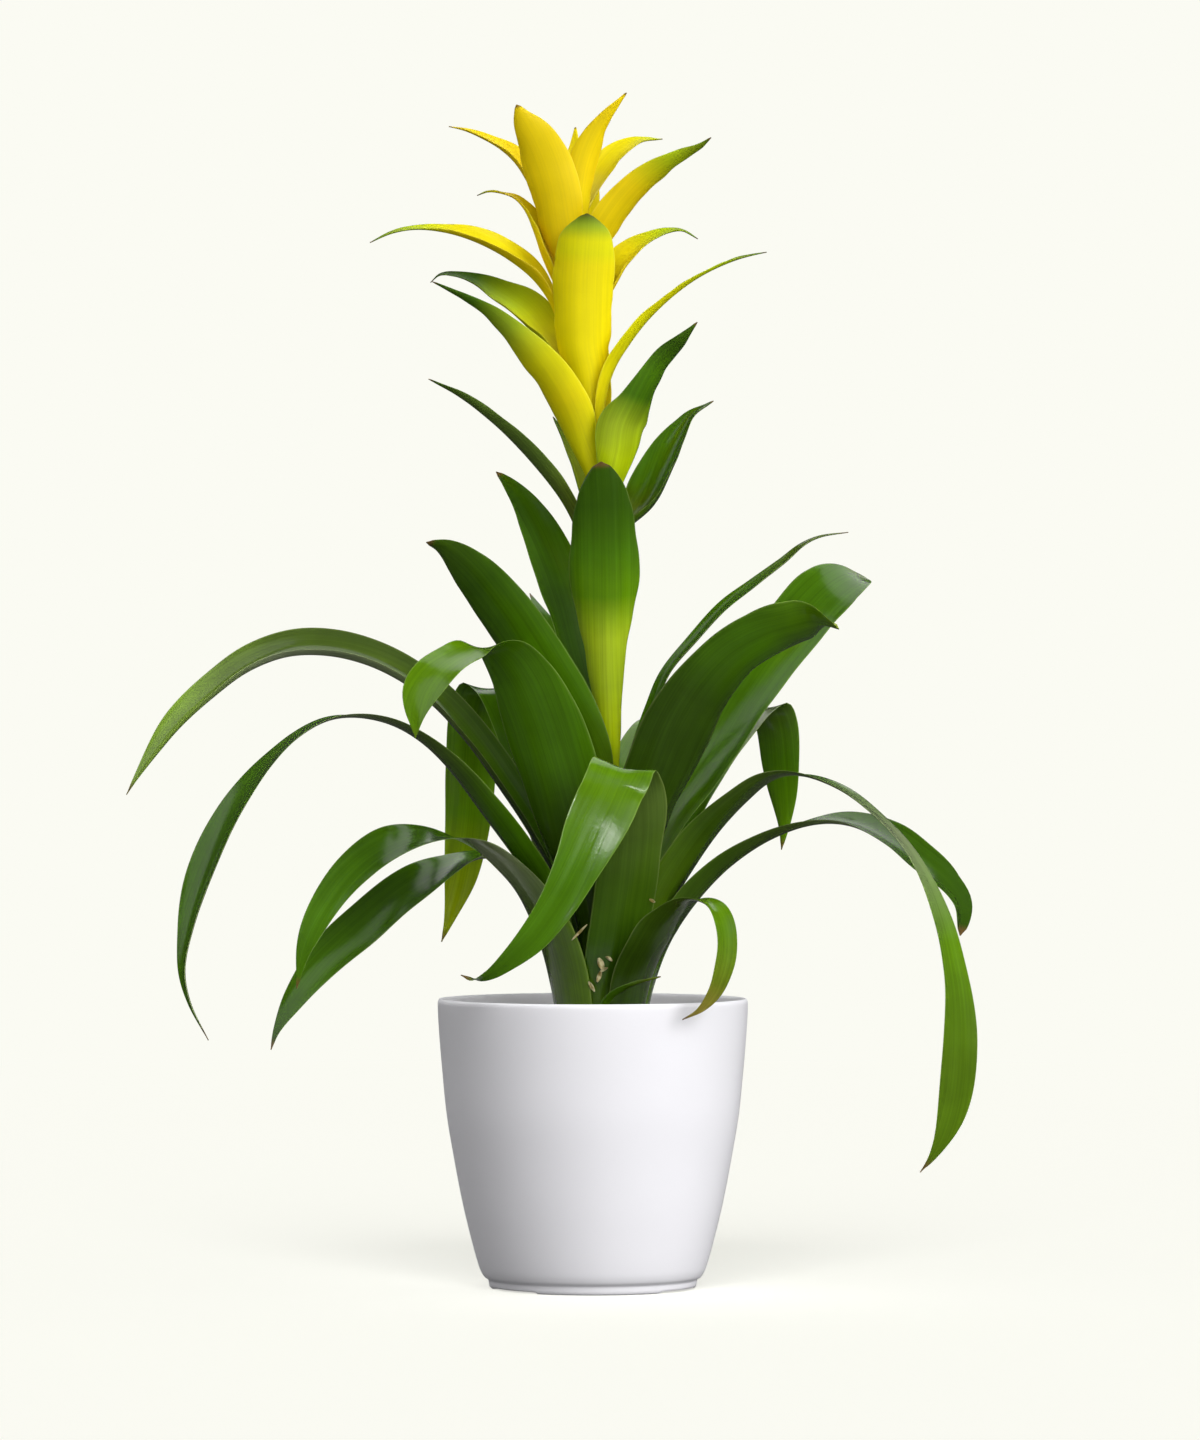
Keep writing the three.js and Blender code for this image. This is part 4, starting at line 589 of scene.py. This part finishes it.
def bladeSurface(shape, sheath, seed):
    # The line carries a ring that goes across the upper face and back across the underside, with
    # v = cos(ring angle) across. The ring's middle is an arc about the line: sideways by radius
    # times sin(spread v) and upwards by radius times (1 - cos(spread v)), where the radius is half
    # the width over the spread. Along the arc's normal come half the thickness, less towards both
    # edges, and a wave of each edge, which is a sum of three sines along the blade. At the foot
    # the arc is the sheath. A blunt tip has part of a quarter circle's width in its last stretch.
    rule = bladeRule
    heading = math.radians(shape["heading"])
    footRadius, footHeight = shape["foot"]
    outward = np.array([math.cos(heading), math.sin(heading), 0])
    level = np.array([-outward[1], outward[0], 0])
    start = stalkAt(footHeight) + outward * footRadius
    places, ways, length = lineThrough([start, *shape["line"]], rule["places"])
    rows = int(length / rule["step"]) + rule["moreRows"]
    tipStart, tipRows = rule["tipStart"], rule["tipRows"]
    tipRun = np.sin(np.linspace(0, math.pi / 2, tipRows))
    t = np.append(np.linspace(0, tipStart, rows - tipRows + 1)[:-1],
                  tipStart + (1 - tipStart) * tipRun)
    every = np.linspace(0, 1, rule["places"])
    centre, tangent = columnsAt(t, every, places), columnsAt(t, every, ways)
    tangent /= np.linalg.norm(tangent, axis=1)[:, None]
    flat = level - tangent * (tangent @ level)[:, None]
    flat /= np.linalg.norm(flat, axis=1)[:, None]
    face = np.cross(tangent, flat)
    turn = np.radians(along(shape.get("roll", rule["roll"]), t))[:, None]
    side = flat * np.cos(turn) + face * np.sin(turn)
    up = np.cross(tangent, side)
    sheathCurl = min(shape.get("sheath", sheath) / footRadius, math.radians(rule["sheathLimit"]))
    opened = smooth(t, 0, rule["sheathEnd"])
    curl = np.radians(along(shape.get("curl", rule["curl"]), t))
    spread = sheathCurl * (1 - opened) + curl * opened
    widths = [*shape["half"], shape.get("end", rule["end"])]
    half = along([sheathCurl * footRadius, *widths], t)
    last = np.clip((t - 1) * len(widths) + 1, 0, 1)
    rounded = np.where(last > 0, widths[-2] * np.sqrt(1 - last**2), half)
    half += (rounded - half) * shape.get("blunt", 0)
    half = np.maximum(half, rule["tip"]) * (1 - 0.5 * smooth(t, rule["narrowing"], 1))
    radius = half / spread
    columns = rule["columns"]
    ring = (np.arange(columns) + 0.5) * fullTurn / columns
    v = np.cos(ring)
    draw = np.random.default_rng(seed)
    wave = np.zeros((rows, 2))
    for waves in rule["waves"]:
        phase = draw.uniform(0, fullTurn, 2)
        wave += np.sin(fullTurn * waves * t[:, None] + phase) / waves
    wave *= (smooth(t, *rule["waveStart"]) * (1 - smooth(t, *rule["waveEnd"])))[:, None]
    lift = wave[:, :1] * np.maximum(v, 0) ** 3 + wave[:, 1:] * np.maximum(-v, 0) ** 3
    angle = spread[:, None] * v
    normal = up[:, None] * np.cos(angle)[..., None] - side[:, None] * np.sin(angle)[..., None]
    thick = (rule["thick"] + (rule["edge"] - rule["thick"]) * v**2) / 2
    thick = thick * np.sqrt(1 - v**8) * np.where(np.sin(ring) >= 0, 1, -1)
    thick = thick * (1 - 0.5 * smooth(t, tipStart, 1))[:, None] + lift
    sideways, upwards = radius[:, None] * np.sin(angle), radius[:, None] * (1 - np.cos(angle))
    points = centre[:, None] + side[:, None] * sideways[..., None]
    points = points + up[:, None] * upwards[..., None] + normal * thick[..., None]
    grain = np.stack([half[:, None] * v + seed * 7.3, (t * length)[:, None] + 0 * v,
                      np.full((rows, columns), seed * 1.7)], -1)
    return points, bladeTint(shape, t, v, np.sin(ring) >= -1e-6), grain


def bladeTint(shape, t, v, upper):
    # each face has its own colours by t; a paler colour is mixed in at both margins, and brown in
    # the last stretch
    rule = bladeRule
    over, under = (colourRun(shape.get(key, shape["top"]), t) for key in ("top", "under"))
    tint = np.where(upper[None, :, None], over[:, None], under[:, None])
    share = (smooth(np.abs(v), *rule["marginPlace"]) * rule["margin"])[None, :, None]
    paler = rule["marginPale"] * linear(palette["margin"]) + rule["marginOwn"] * tint
    tint = tint * (1 - share) + paler * share
    tail = smooth(t, *rule["tailPlace"])[:, None, None] * shape.get("tail", rule["tail"])
    return tint * (1 - tail) + linear(palette["brown"]) * tail


def bladePiece(name, shape, sheath, seed, material, slot):
    points, tint, grain = bladeSurface(shape, sheath, seed)
    piece = closedPiece(name + "_blade", points, material, name)
    receivers["blades"].objects.link(piece)
    if slot == "leaf":
        receivers["leaves"].objects.link(piece)
    rgba = np.clip(np.insert(tint, 3, 1, axis=-1), 0, 1)
    colour = piece.data.attributes.new("tint", "FLOAT_COLOR", "POINT")
    colour.data.foreach_set("color", rgba.astype(np.float32).ravel())
    run = piece.data.attributes.new("grain", "FLOAT_VECTOR", "POINT")
    run.data.foreach_set("vector", grain.astype(np.float32).ravel())


for number, (name, shape) in enumerate(leafShapes.items()):
    bladePiece(name, shape, bladeRule["leafSheath"], number + 1, leafSkin, "leaf")
print("leaves:", len(leafShapes))
for number, (name, shape) in enumerate(bractShapes.items()):
    slot = "green_bract" if "green" in name else "yellow_bract"
    skin = leafSkin if "green" in name else bractSkin
    bladePiece(name, shape, bladeRule["bractSheath"], number + 51, skin, slot)
print("bracts:", len(bractShapes))


# The stem

def turnedPoints(rings, sides):
    # rings of (middle x, middle y, height, radius), each a circle about its own middle
    rings = np.asarray(rings, float)
    angle = np.linspace(0, fullTurn, sides, endpoint=False)
    x = rings[:, 0:1] + rings[:, 3:4] * np.cos(angle)
    y = rings[:, 1:2] + rings[:, 3:4] * np.sin(angle)
    return np.stack([x, y, np.repeat(rings[:, 2:3], sides, 1)], -1)


def stemRings():
    # the radius goes straight from bottom to top, with a ring at each bract's foot: its height
    # times the bell curve of the distance over its width
    low, high = stalk["bottom"], stalk["top"]
    z = np.linspace(low[0], high[0], stalk["rows"])
    radius = np.interp(z, [low[0], high[0]], [low[1], high[1]])
    for shape in bractShapes.values():
        distance = (z - shape["foot"][1]) / stalk["ringWidth"]
        radius += stalk["ringHeight"] * np.exp(-distance**2)
    pairs = [*stalk["crown"], *zip(z, radius), *stalk["bud"]]
    return [(*stalkAt(height)[:2], height, r) for height, r in pairs]


# green low down turns yellow with height; fine fibres run up the stalk
stemLook = {
    "noises": {"fibre": ((900, 900, 18), 3.0)},
    "colours": ("7f9a34", "d8cf30"), "mix": ("height", 0, 1, 0.30, 0.46),
    "shades": [("fibre", 0.78, 1.18)], "gloss": 0.5, "bumps": [("fibre", 0.4, 0.3)],
}
stemPoints = turnedPoints(stemRings(), stalk["sides"])
closedPiece("stem_rod", stemPoints, grainMaterial("stem_skin", stemLook), "stem")
print("stem made")


# The pot: radius and height pairs up the outside and down the inside

potShape = {
    "outside": [(50.6, 0), (51.6, 0.8), (52.6, 4.9), (53.9, 5.3), (56, 8.5), (57.9, 14), (60, 21.5),
                (65, 42), (69.8, 67), (73.1, 87), (75.3, 109), (76.8, 127), (77.5, 140),
                (77.4, 143.4), (76.7, 144.5)],
    "inside": [(75.7, 144.5), (75.1, 143.6), (73.8, 122), (70.7, 87), (67.2, 66), (62.4, 42),
               (57.5, 22), (53.5, 10), (50, 5.4)],
    "under": [(0.5, 0), (49.5, 0)], "bottom": [(25, 4.5), (0.5, 4)], "steps": (110, 90),
    "notches": (94, 214, 334), "notchDepth": 1.0, "notchHalf": 20, "notchEase": 1.2,
    "notchFrom": (44, 45.5), "footSteps": 40, "footRise": 1.2, "sides": 288,
}
# white satin plastic: a very slow grey drift, a drift in the gloss and a fine moulded grain
potLook = {
    "noises": {"drift": (9.0,), "sheen": (40.0,), "grain": (1400.0, 2.0)},
    "colours": ("ecebef",), "shades": [("drift", 0.965, 1)], "gloss": ("sheen", 0.39, 0.47),
    "bumps": [("grain", 0.10, 0.12)],
}


def potProfile():
    # smooth lines up the outside and down the inside, read at even steps: radius and height
    sides = [lineThrough([(r, 0, z) for r, z in potShape[key]], steps)[0][:, [0, 2]]
             for key, steps in zip(("outside", "inside"), potShape["steps"])]
    return np.vstack([potShape["under"], *sides, potShape["bottom"]])


def potPoints():
    # the profile turned about the axis; each notch lifts the lowest steps of the foot to its depth,
    # less towards its sides and from the foot's inner edge inwards
    profile = potProfile()
    points = turnedPoints([(0, 0, z, r) for r, z in profile], potShape["sides"])
    angles = np.degrees(np.arctan2(points[..., 1], points[..., 0]))
    away = np.linalg.norm(points[..., :2], axis=-1)
    foot = smooth(away, *potShape["notchFrom"])
    outer = np.arange(len(profile)) < potShape["footSteps"]
    half = potShape["notchHalf"]
    for notch in potShape["notches"]:
        offset = np.radians(angles - notch)
        near = 1 - smooth(np.abs(away * np.sin(offset)), half - potShape["notchEase"], half)
        near = near * (np.cos(offset) > 0)
        low = (points[..., 2] < potShape["footRise"]) * outer[:, None]
        lifted = np.maximum(points[..., 2], potShape["notchDepth"] * near * foot)
        points[..., 2] = np.where(low, lifted, points[..., 2])
    return points


potSkin = grainMaterial("pot_plastic", potLook)
potPiece = closedPiece("pot_shell", potPoints(), potSkin, "pot")
receivers["pot"].objects.link(potPiece)
print("pot made")


# The potting mix

soilShape = {
    "level": 116, "crownX": 4.5, "crownRadius": 19.6, "crownDepth": 105.7, "edgeRadius": 71.4,
    "wall": [(72, 113), (69.5, 87), (66, 66), (61.3, 42.4), (56.5, 22.6), (52.4, 11.2), (49, 6.3)],
    "bottom": 4.6, "rows": 60, "sides": 200, "edgeDrop": 1.6,
    # cell, seed and height of each size of lumps
    "lumps": [(11, 5, 1.1), (4, 6, 0.8), (2, 7, 0.4)], "grid": 64,
}
# dark peat with lighter crumbs and broad patches
soilLook = {
    "noises": {"crumb": (420.0, 6.0, 0.7), "patch": (90.0,)},
    "colours": ("3a2a1c", "6b5138"), "mix": ("crumb", 0, 1, 0.45, 0.75),
    "shades": [("patch", 0.6, 1.3)], "gloss": 0.95,
    "bumps": [("crumb", 0.9, 1.2), ("patch", 0.5, 2.0)],
}


def lumps(x, y, cell, seed):
    # smooth random heights from -1 to 1: random values on a square grid, joined by smooth steps
    size = soilShape["grid"]
    draw = np.random.default_rng(seed).uniform(-1, 1, (size, size))
    gx, gy = x / cell + size // 2, y / cell + size // 2
    i, j = np.floor(gx).astype(int), np.floor(gy).astype(int)
    u, w = smooth(gx - i, 0, 1), smooth(gy - j, 0, 1)
    low = draw[i % size, j % size] * (1 - u) + draw[(i + 1) % size, j % size] * u
    high = draw[i % size, (j + 1) % size] * (1 - u) + draw[(i + 1) % size, (j + 1) % size] * u
    return low * (1 - w) + high * w


def soilHeight(x, y):
    # level plus three sizes of lumps
    return soilShape["level"] + sum(lumps(x, y, cell, seed) * height
                                    for cell, seed, height in soilShape["lumps"])


def soilPoints():
    # circles whose middle slides from the crown to the pot's axis as they widen over the surface;
    # the surface has the lumps, faded out at both ends, and drops a little towards the wall
    s = np.linspace(0, 1, soilShape["rows"])
    level, crown, middle = soilShape["level"], soilShape["crownRadius"], soilShape["crownX"]
    rings = [(middle, 0, soilShape["crownDepth"], radius) for radius in (0.5, crown)]
    rings += [(middle * (1 - u), 0, level, crown + (soilShape["edgeRadius"] - crown) * u)
              for u in s]
    rings += [(0, 0, z, r) for r, z in soilShape["wall"]] + [(0, 0, soilShape["bottom"], 0.5)]
    points = turnedPoints(rings, soilShape["sides"])
    top = points[2:2 + len(s)]
    fade = (smooth(s, 0, 0.05) * (1 - smooth(s, 0.97, 1)))[:, None]
    drop = soilShape["edgeDrop"] * smooth(s, 0.8, 1)[:, None]
    top[..., 2] = level + (soilHeight(top[..., 0], top[..., 1]) - level) * fade - drop
    return points


soilSkin = grainMaterial("potting_mix_crumb", soilLook)
closedPiece("potting_mix_surface", soilPoints(), soilSkin, "potting_mix")

chipShape = {
    "count": 340, "seed": 11, "from": 23.5, "to": 68,
    "long": (1.6, 5.2), "wide": (0.7, 2.0), "high": (0.35, 0.9), "corners": 6,
    # each ring's place along the chip and its width
    "rings": ((-1, 0.55), (-0.3, 1), (0.4, 0.9), (1, 0.5)),
    "uneven": (0.8, 1.2), "tilt": 0.25, "above": 0.2,
}
# brown bark in two tones with a fine grain
barkLook = {
    "noises": {"tone": (130.0, 2.0), "grain": (900.0, 4.0)},
    "colours": ("4a3322", "8a6a48"), "mix": ("tone", 0, 1, 0.35, 0.65),
    "shades": [("grain", 0.6, 1.2)], "gloss": 0.85, "bumps": [("grain", 0.7, 0.6)],
}


def turnedPair(a, b, angle):
    # the pair a, b turned by an angle in its own plane
    return a * np.cos(angle) - b * np.sin(angle), a * np.sin(angle) + b * np.cos(angle)


def chipPoints():
    # every chip is a bar of four rings, made uneven, tilted and turned at random, half sunk
    draw = np.random.default_rng(chipShape["seed"])
    count, corners = chipShape["count"], chipShape["corners"]
    away = np.sqrt(draw.uniform(chipShape["from"]**2, chipShape["to"]**2, count))
    turn = draw.uniform(0, fullTurn, count)
    size = np.stack([draw.uniform(*chipShape[key], count) for key in ("long", "wide", "high")], 1)
    ring = np.linspace(0, fullTurn, corners, endpoint=False)
    form = np.array([(x, math.cos(a) * w, math.sin(a) * w)
                     for x, w in chipShape["rings"] for a in ring])
    uneven = draw.uniform(*chipShape["uneven"], (count, len(form), 1))
    run, across, rise = np.moveaxis(form * size[:, None] * uneven, -1, 0)
    yaw = draw.uniform(0, fullTurn, count)
    pitch = draw.normal(0, chipShape["tilt"], count)
    run, rise = turnedPair(run, rise, pitch[:, None])
    run, across = turnedPair(run, across, yaw[:, None])
    shift = 1 - away / soilShape["wall"][0][0]
    x = away * np.cos(turn) + soilShape["crownX"] * shift
    y = away * np.sin(turn)
    height = soilHeight(x, y) + chipShape["above"]
    return np.stack([run + x[:, None], across + y[:, None], rise + height[:, None]], -1)


chips = chipPoints()
oneChip = facesOut(chips[0], closedFaces(len(chipShape["rings"]), chipShape["corners"]))
barkSkin = grainMaterial("bark_chip", barkLook)
newPiece("bark_chips", chips, manyFaces(oneChip, chips), barkSkin)
print("potting mix made")


# Dry flakes at the foot of the front leaves

flakeShape = {
    # middle x, y, z, length, width, turn in degrees from level, how far the ends stand off
    "flakes": [(4, -24.9, 162.9, 6.5, 3.2, 70, 1.0), (8.1, -25.1, 165.4, 4, 1.8, 35, 0.7),
               (3.2, -23.8, 156.6, 6, 2.2, 110, 0.9), (-0.6, -24.2, 151.6, 6, 1.9, 60, 0.8),
               (5.5, -24.4, 160, 4.5, 1.6, 150, 1.1), (29.5, -26.8, 194.2, 3.2, 1.6, 30, 0.5),
               (-6.6, -29.6, 178.6, 11, 1.3, -46, 0.3)],
    "out": (0, -0.98, -0.2), "gap": 0.35, "wave": 0.3, "thick": 0.15, "rows": 13, "columns": 7,
}
# straw with brown patches; fine fibres in the gloss and the relief
flakeLook = {
    "noises": {"patch": (380.0,), "fibre": ((1500, 1500, 300), 2.0)},
    "colours": ("d8cfa0", "8a7a3c"), "mix": ("patch", 0, 1, 0.4, 0.65),
    "shades": [], "gloss": ("fibre", 0.6, 0.85), "bumps": [("fibre", 0.5, 0.2)],
}


def flakePoints():
    # each flake runs along its length by s, and across it by half its width times w times the
    # cosine of 1.3 s; it stands off by its gap plus s squared times its own lift plus a wave in w
    flakes = np.array(flakeShape["flakes"])[:, None, None]
    out = np.array(flakeShape["out"]) / np.linalg.norm(flakeShape["out"])
    turn = np.radians(flakes[..., 5:6])
    lengthwise = np.cos(turn) * np.array([1, 0, 0]) + np.sin(turn) * np.cross(out, (-1, 0, 0))
    across = np.cross(out, lengthwise)
    s, w = np.meshgrid(np.linspace(-1, 1, flakeShape["rows"]),
                       np.linspace(-1, 1, flakeShape["columns"]), indexing="ij")
    s, w = s[None, ..., None], w[None, ..., None]
    wave = flakeShape["wave"] * np.sin(2.2 * s + 3 * w + flakes[..., 0:1])
    lift = flakeShape["gap"] + flakes[..., 6:7] * s**2 + wave
    return (flakes[..., :3] + lengthwise * s * flakes[..., 3:4] / 2
            + across * w * flakes[..., 4:5] / 2 * np.cos(1.3 * s) + out * lift)


flakes = flakePoints().reshape(len(flakeShape["flakes"]), -1, 3)
first = np.arange(flakeShape["rows"] - 1)[:, None] * flakeShape["columns"]
first = (first + np.arange(flakeShape["columns"] - 1)).reshape(-1, 1)
oneFlake = first + np.array([0, 1, flakeShape["columns"] + 1, flakeShape["columns"]])
flakeSkin = grainMaterial("dry_flake", flakeLook)
flakePiece = newPiece("dry_flakes", flakes, manyFaces(oneFlake, flakes), flakeSkin)
shell = flakePiece.modifiers.new("shell", "SOLIDIFY")
shell.thickness = flakeShape["thick"] * mm
shell.offset = 0
print("flakes made")


# Stage, lights and camera, in metres

stage = {
    "radius": 9.0, "bend": 1.2, "height": 7.0, "flat": (0.02, 0.3, 0.8, 2.0, 4.0), "sides": 96,
    "bendRows": 24, "tone": (0.965, 0.965, 0.896), "own": 0.538, "answer": 0.9,
    "fade": (1.3, 2.4), "world": 0.05,
}


def stageMaterial():
    # near the pot a part of the tone glows by itself and the rest answers the light, so that soft
    # shadows show there; over the fade's distances from the pot the glow takes over
    material, tree, shader, place = newMaterial("stage_paper")
    away = addNode(tree, "ShaderNodeVectorMath", {0: place}, operation="LENGTH").outputs["Value"]
    tone = (*stage["tone"], 1)
    answer = ranged(tree, away, stage["answer"], 0, *stage["fade"])
    setLook(tree, shader, mixedColour(tree, answer, (0, 0, 0, 1), tone), [], 1, [], 0)
    put(tree, shader.inputs["Emission Color"], tone)
    glow = ranged(tree, away, stage["own"], 1, *stage["fade"])
    put(tree, shader.inputs["Emission Strength"], glow)
    return material


def makeStage():
    # a round floor that bends up by a quarter circle into a wall, seen by the camera alone
    bend, flat = stage["bend"], stage["radius"] - stage["bend"]
    rings = [(0, 0, 0, radius) for radius in (*stage["flat"], flat)]
    rings += [(0, 0, bend * (1 - math.cos(a)), flat + bend * math.sin(a))
              for a in np.linspace(0, math.pi / 2, stage["bendRows"])[1:]]
    rings += [(0, 0, stage["height"], stage["radius"])]
    faces = [ringFaces(len(rings), stage["sides"]), capFaces(0, stage["sides"])[:, ::-1]]
    floor = newObject("stage", turnedPoints(rings, stage["sides"]), np.vstack(faces),
                      stageMaterial(), "floor")
    floor.visible_diffuse = False
    floor.visible_glossy = False
    floor.visible_shadow = False


makeStage()

lights = [
    # name, azimuth from the camera's side towards the right, elevation and width of the disc in
    # degrees, strength, what it lights, and whether it gives shade (diffuse), gloss or both
    ("key", 42, 28, 40, 2.45, "plant", "shade"),
    ("right_side", 88, 20, 50, 0.9, "plant", "shade"),
    ("front", 0, 26, 50, 1.0, "plant", "shade"),
    ("top", 172, 60, 60, 0.95, "plant", "both"),
    ("left_fill", -80, 36, 60, 0.62, "plant", "both"),
    ("back_fill", 180, 18, 70, 0.8, "plant", "shade"),
    ("bounce", 10, -40, 90, 0.85, "blades", "shade"),
    ("pot_top", 10, 80, 40, 1.2, "pot", "shade"),
    ("pot_edge", -140, 20, 40, 1.3, "pot", "shade"),
    ("pot_front", 20, -45, 30, 0.5, "pot", "shade"),
    ("floor_left", -13, 20, 26, 1.4, "floor", "shade"),
    ("floor_right", 13, 20, 26, 1.4, "floor", "shade"),
    ("overhead", 0, 82, 110, 0.485, "floor", "shade"),
    ("sheen_top", 31, 18, 7, 0.15, "leaves", "gloss"),
    ("sheen_high", 23, 16, 7, 0.22, "leaves", "gloss"),
    ("sheen_low", 15, 11, 7, 0.25, "leaves", "gloss"),
    ("sheen_foot", 10, 5, 7, 0.22, "leaves", "gloss"),
]


def makeLights():
    # far lamps, each for one group; those of the floor are shaded by the pot alone
    for name, azimuth, elevation, width, strength, receiver, way in lights:
        data = bpy.data.lights.new(name, "SUN")
        data.energy = strength
        data.angle = math.radians(width)
        lamp = bpy.data.objects.new(name, data)
        lamp.rotation_euler = (math.pi / 2 - math.radians(elevation), 0, math.radians(azimuth))
        scene.collection.objects.link(lamp)
        lamp.visible_diffuse = way != "gloss"
        lamp.visible_glossy = way != "shade"
        lamp.light_linking.receiver_collection = receivers[receiver]
        if receiver == "floor":
            lamp.light_linking.blocker_collection = receivers["pot"]
    world = bpy.data.worlds.new("studio")
    world.use_nodes = True
    sky = world.node_tree.nodes["Background"]
    sky.inputs["Color"].default_value = (1, 1, 1, 1)
    sky.inputs["Strength"].default_value = stage["world"]
    scene.world = world


makeLights()
scene.view_settings.view_transform = "Standard"

camera = {"place": (0.0036, -3.6, 0.28375), "lens": 180, "sensor": 36, "clipEnd": 40}


def makeCamera():
    # level, looking along +Y
    data = bpy.data.cameras.new("camera")
    data.lens = camera["lens"]
    data.sensor_width = camera["sensor"]
    data.clip_end = camera["clipEnd"]
    eye = bpy.data.objects.new("camera", data)
    eye.location = camera["place"]
    eye.rotation_euler = (math.pi / 2, 0, 0)
    scene.collection.objects.link(eye)
    scene.camera = eye


makeCamera()
print("stage, lights and camera made")
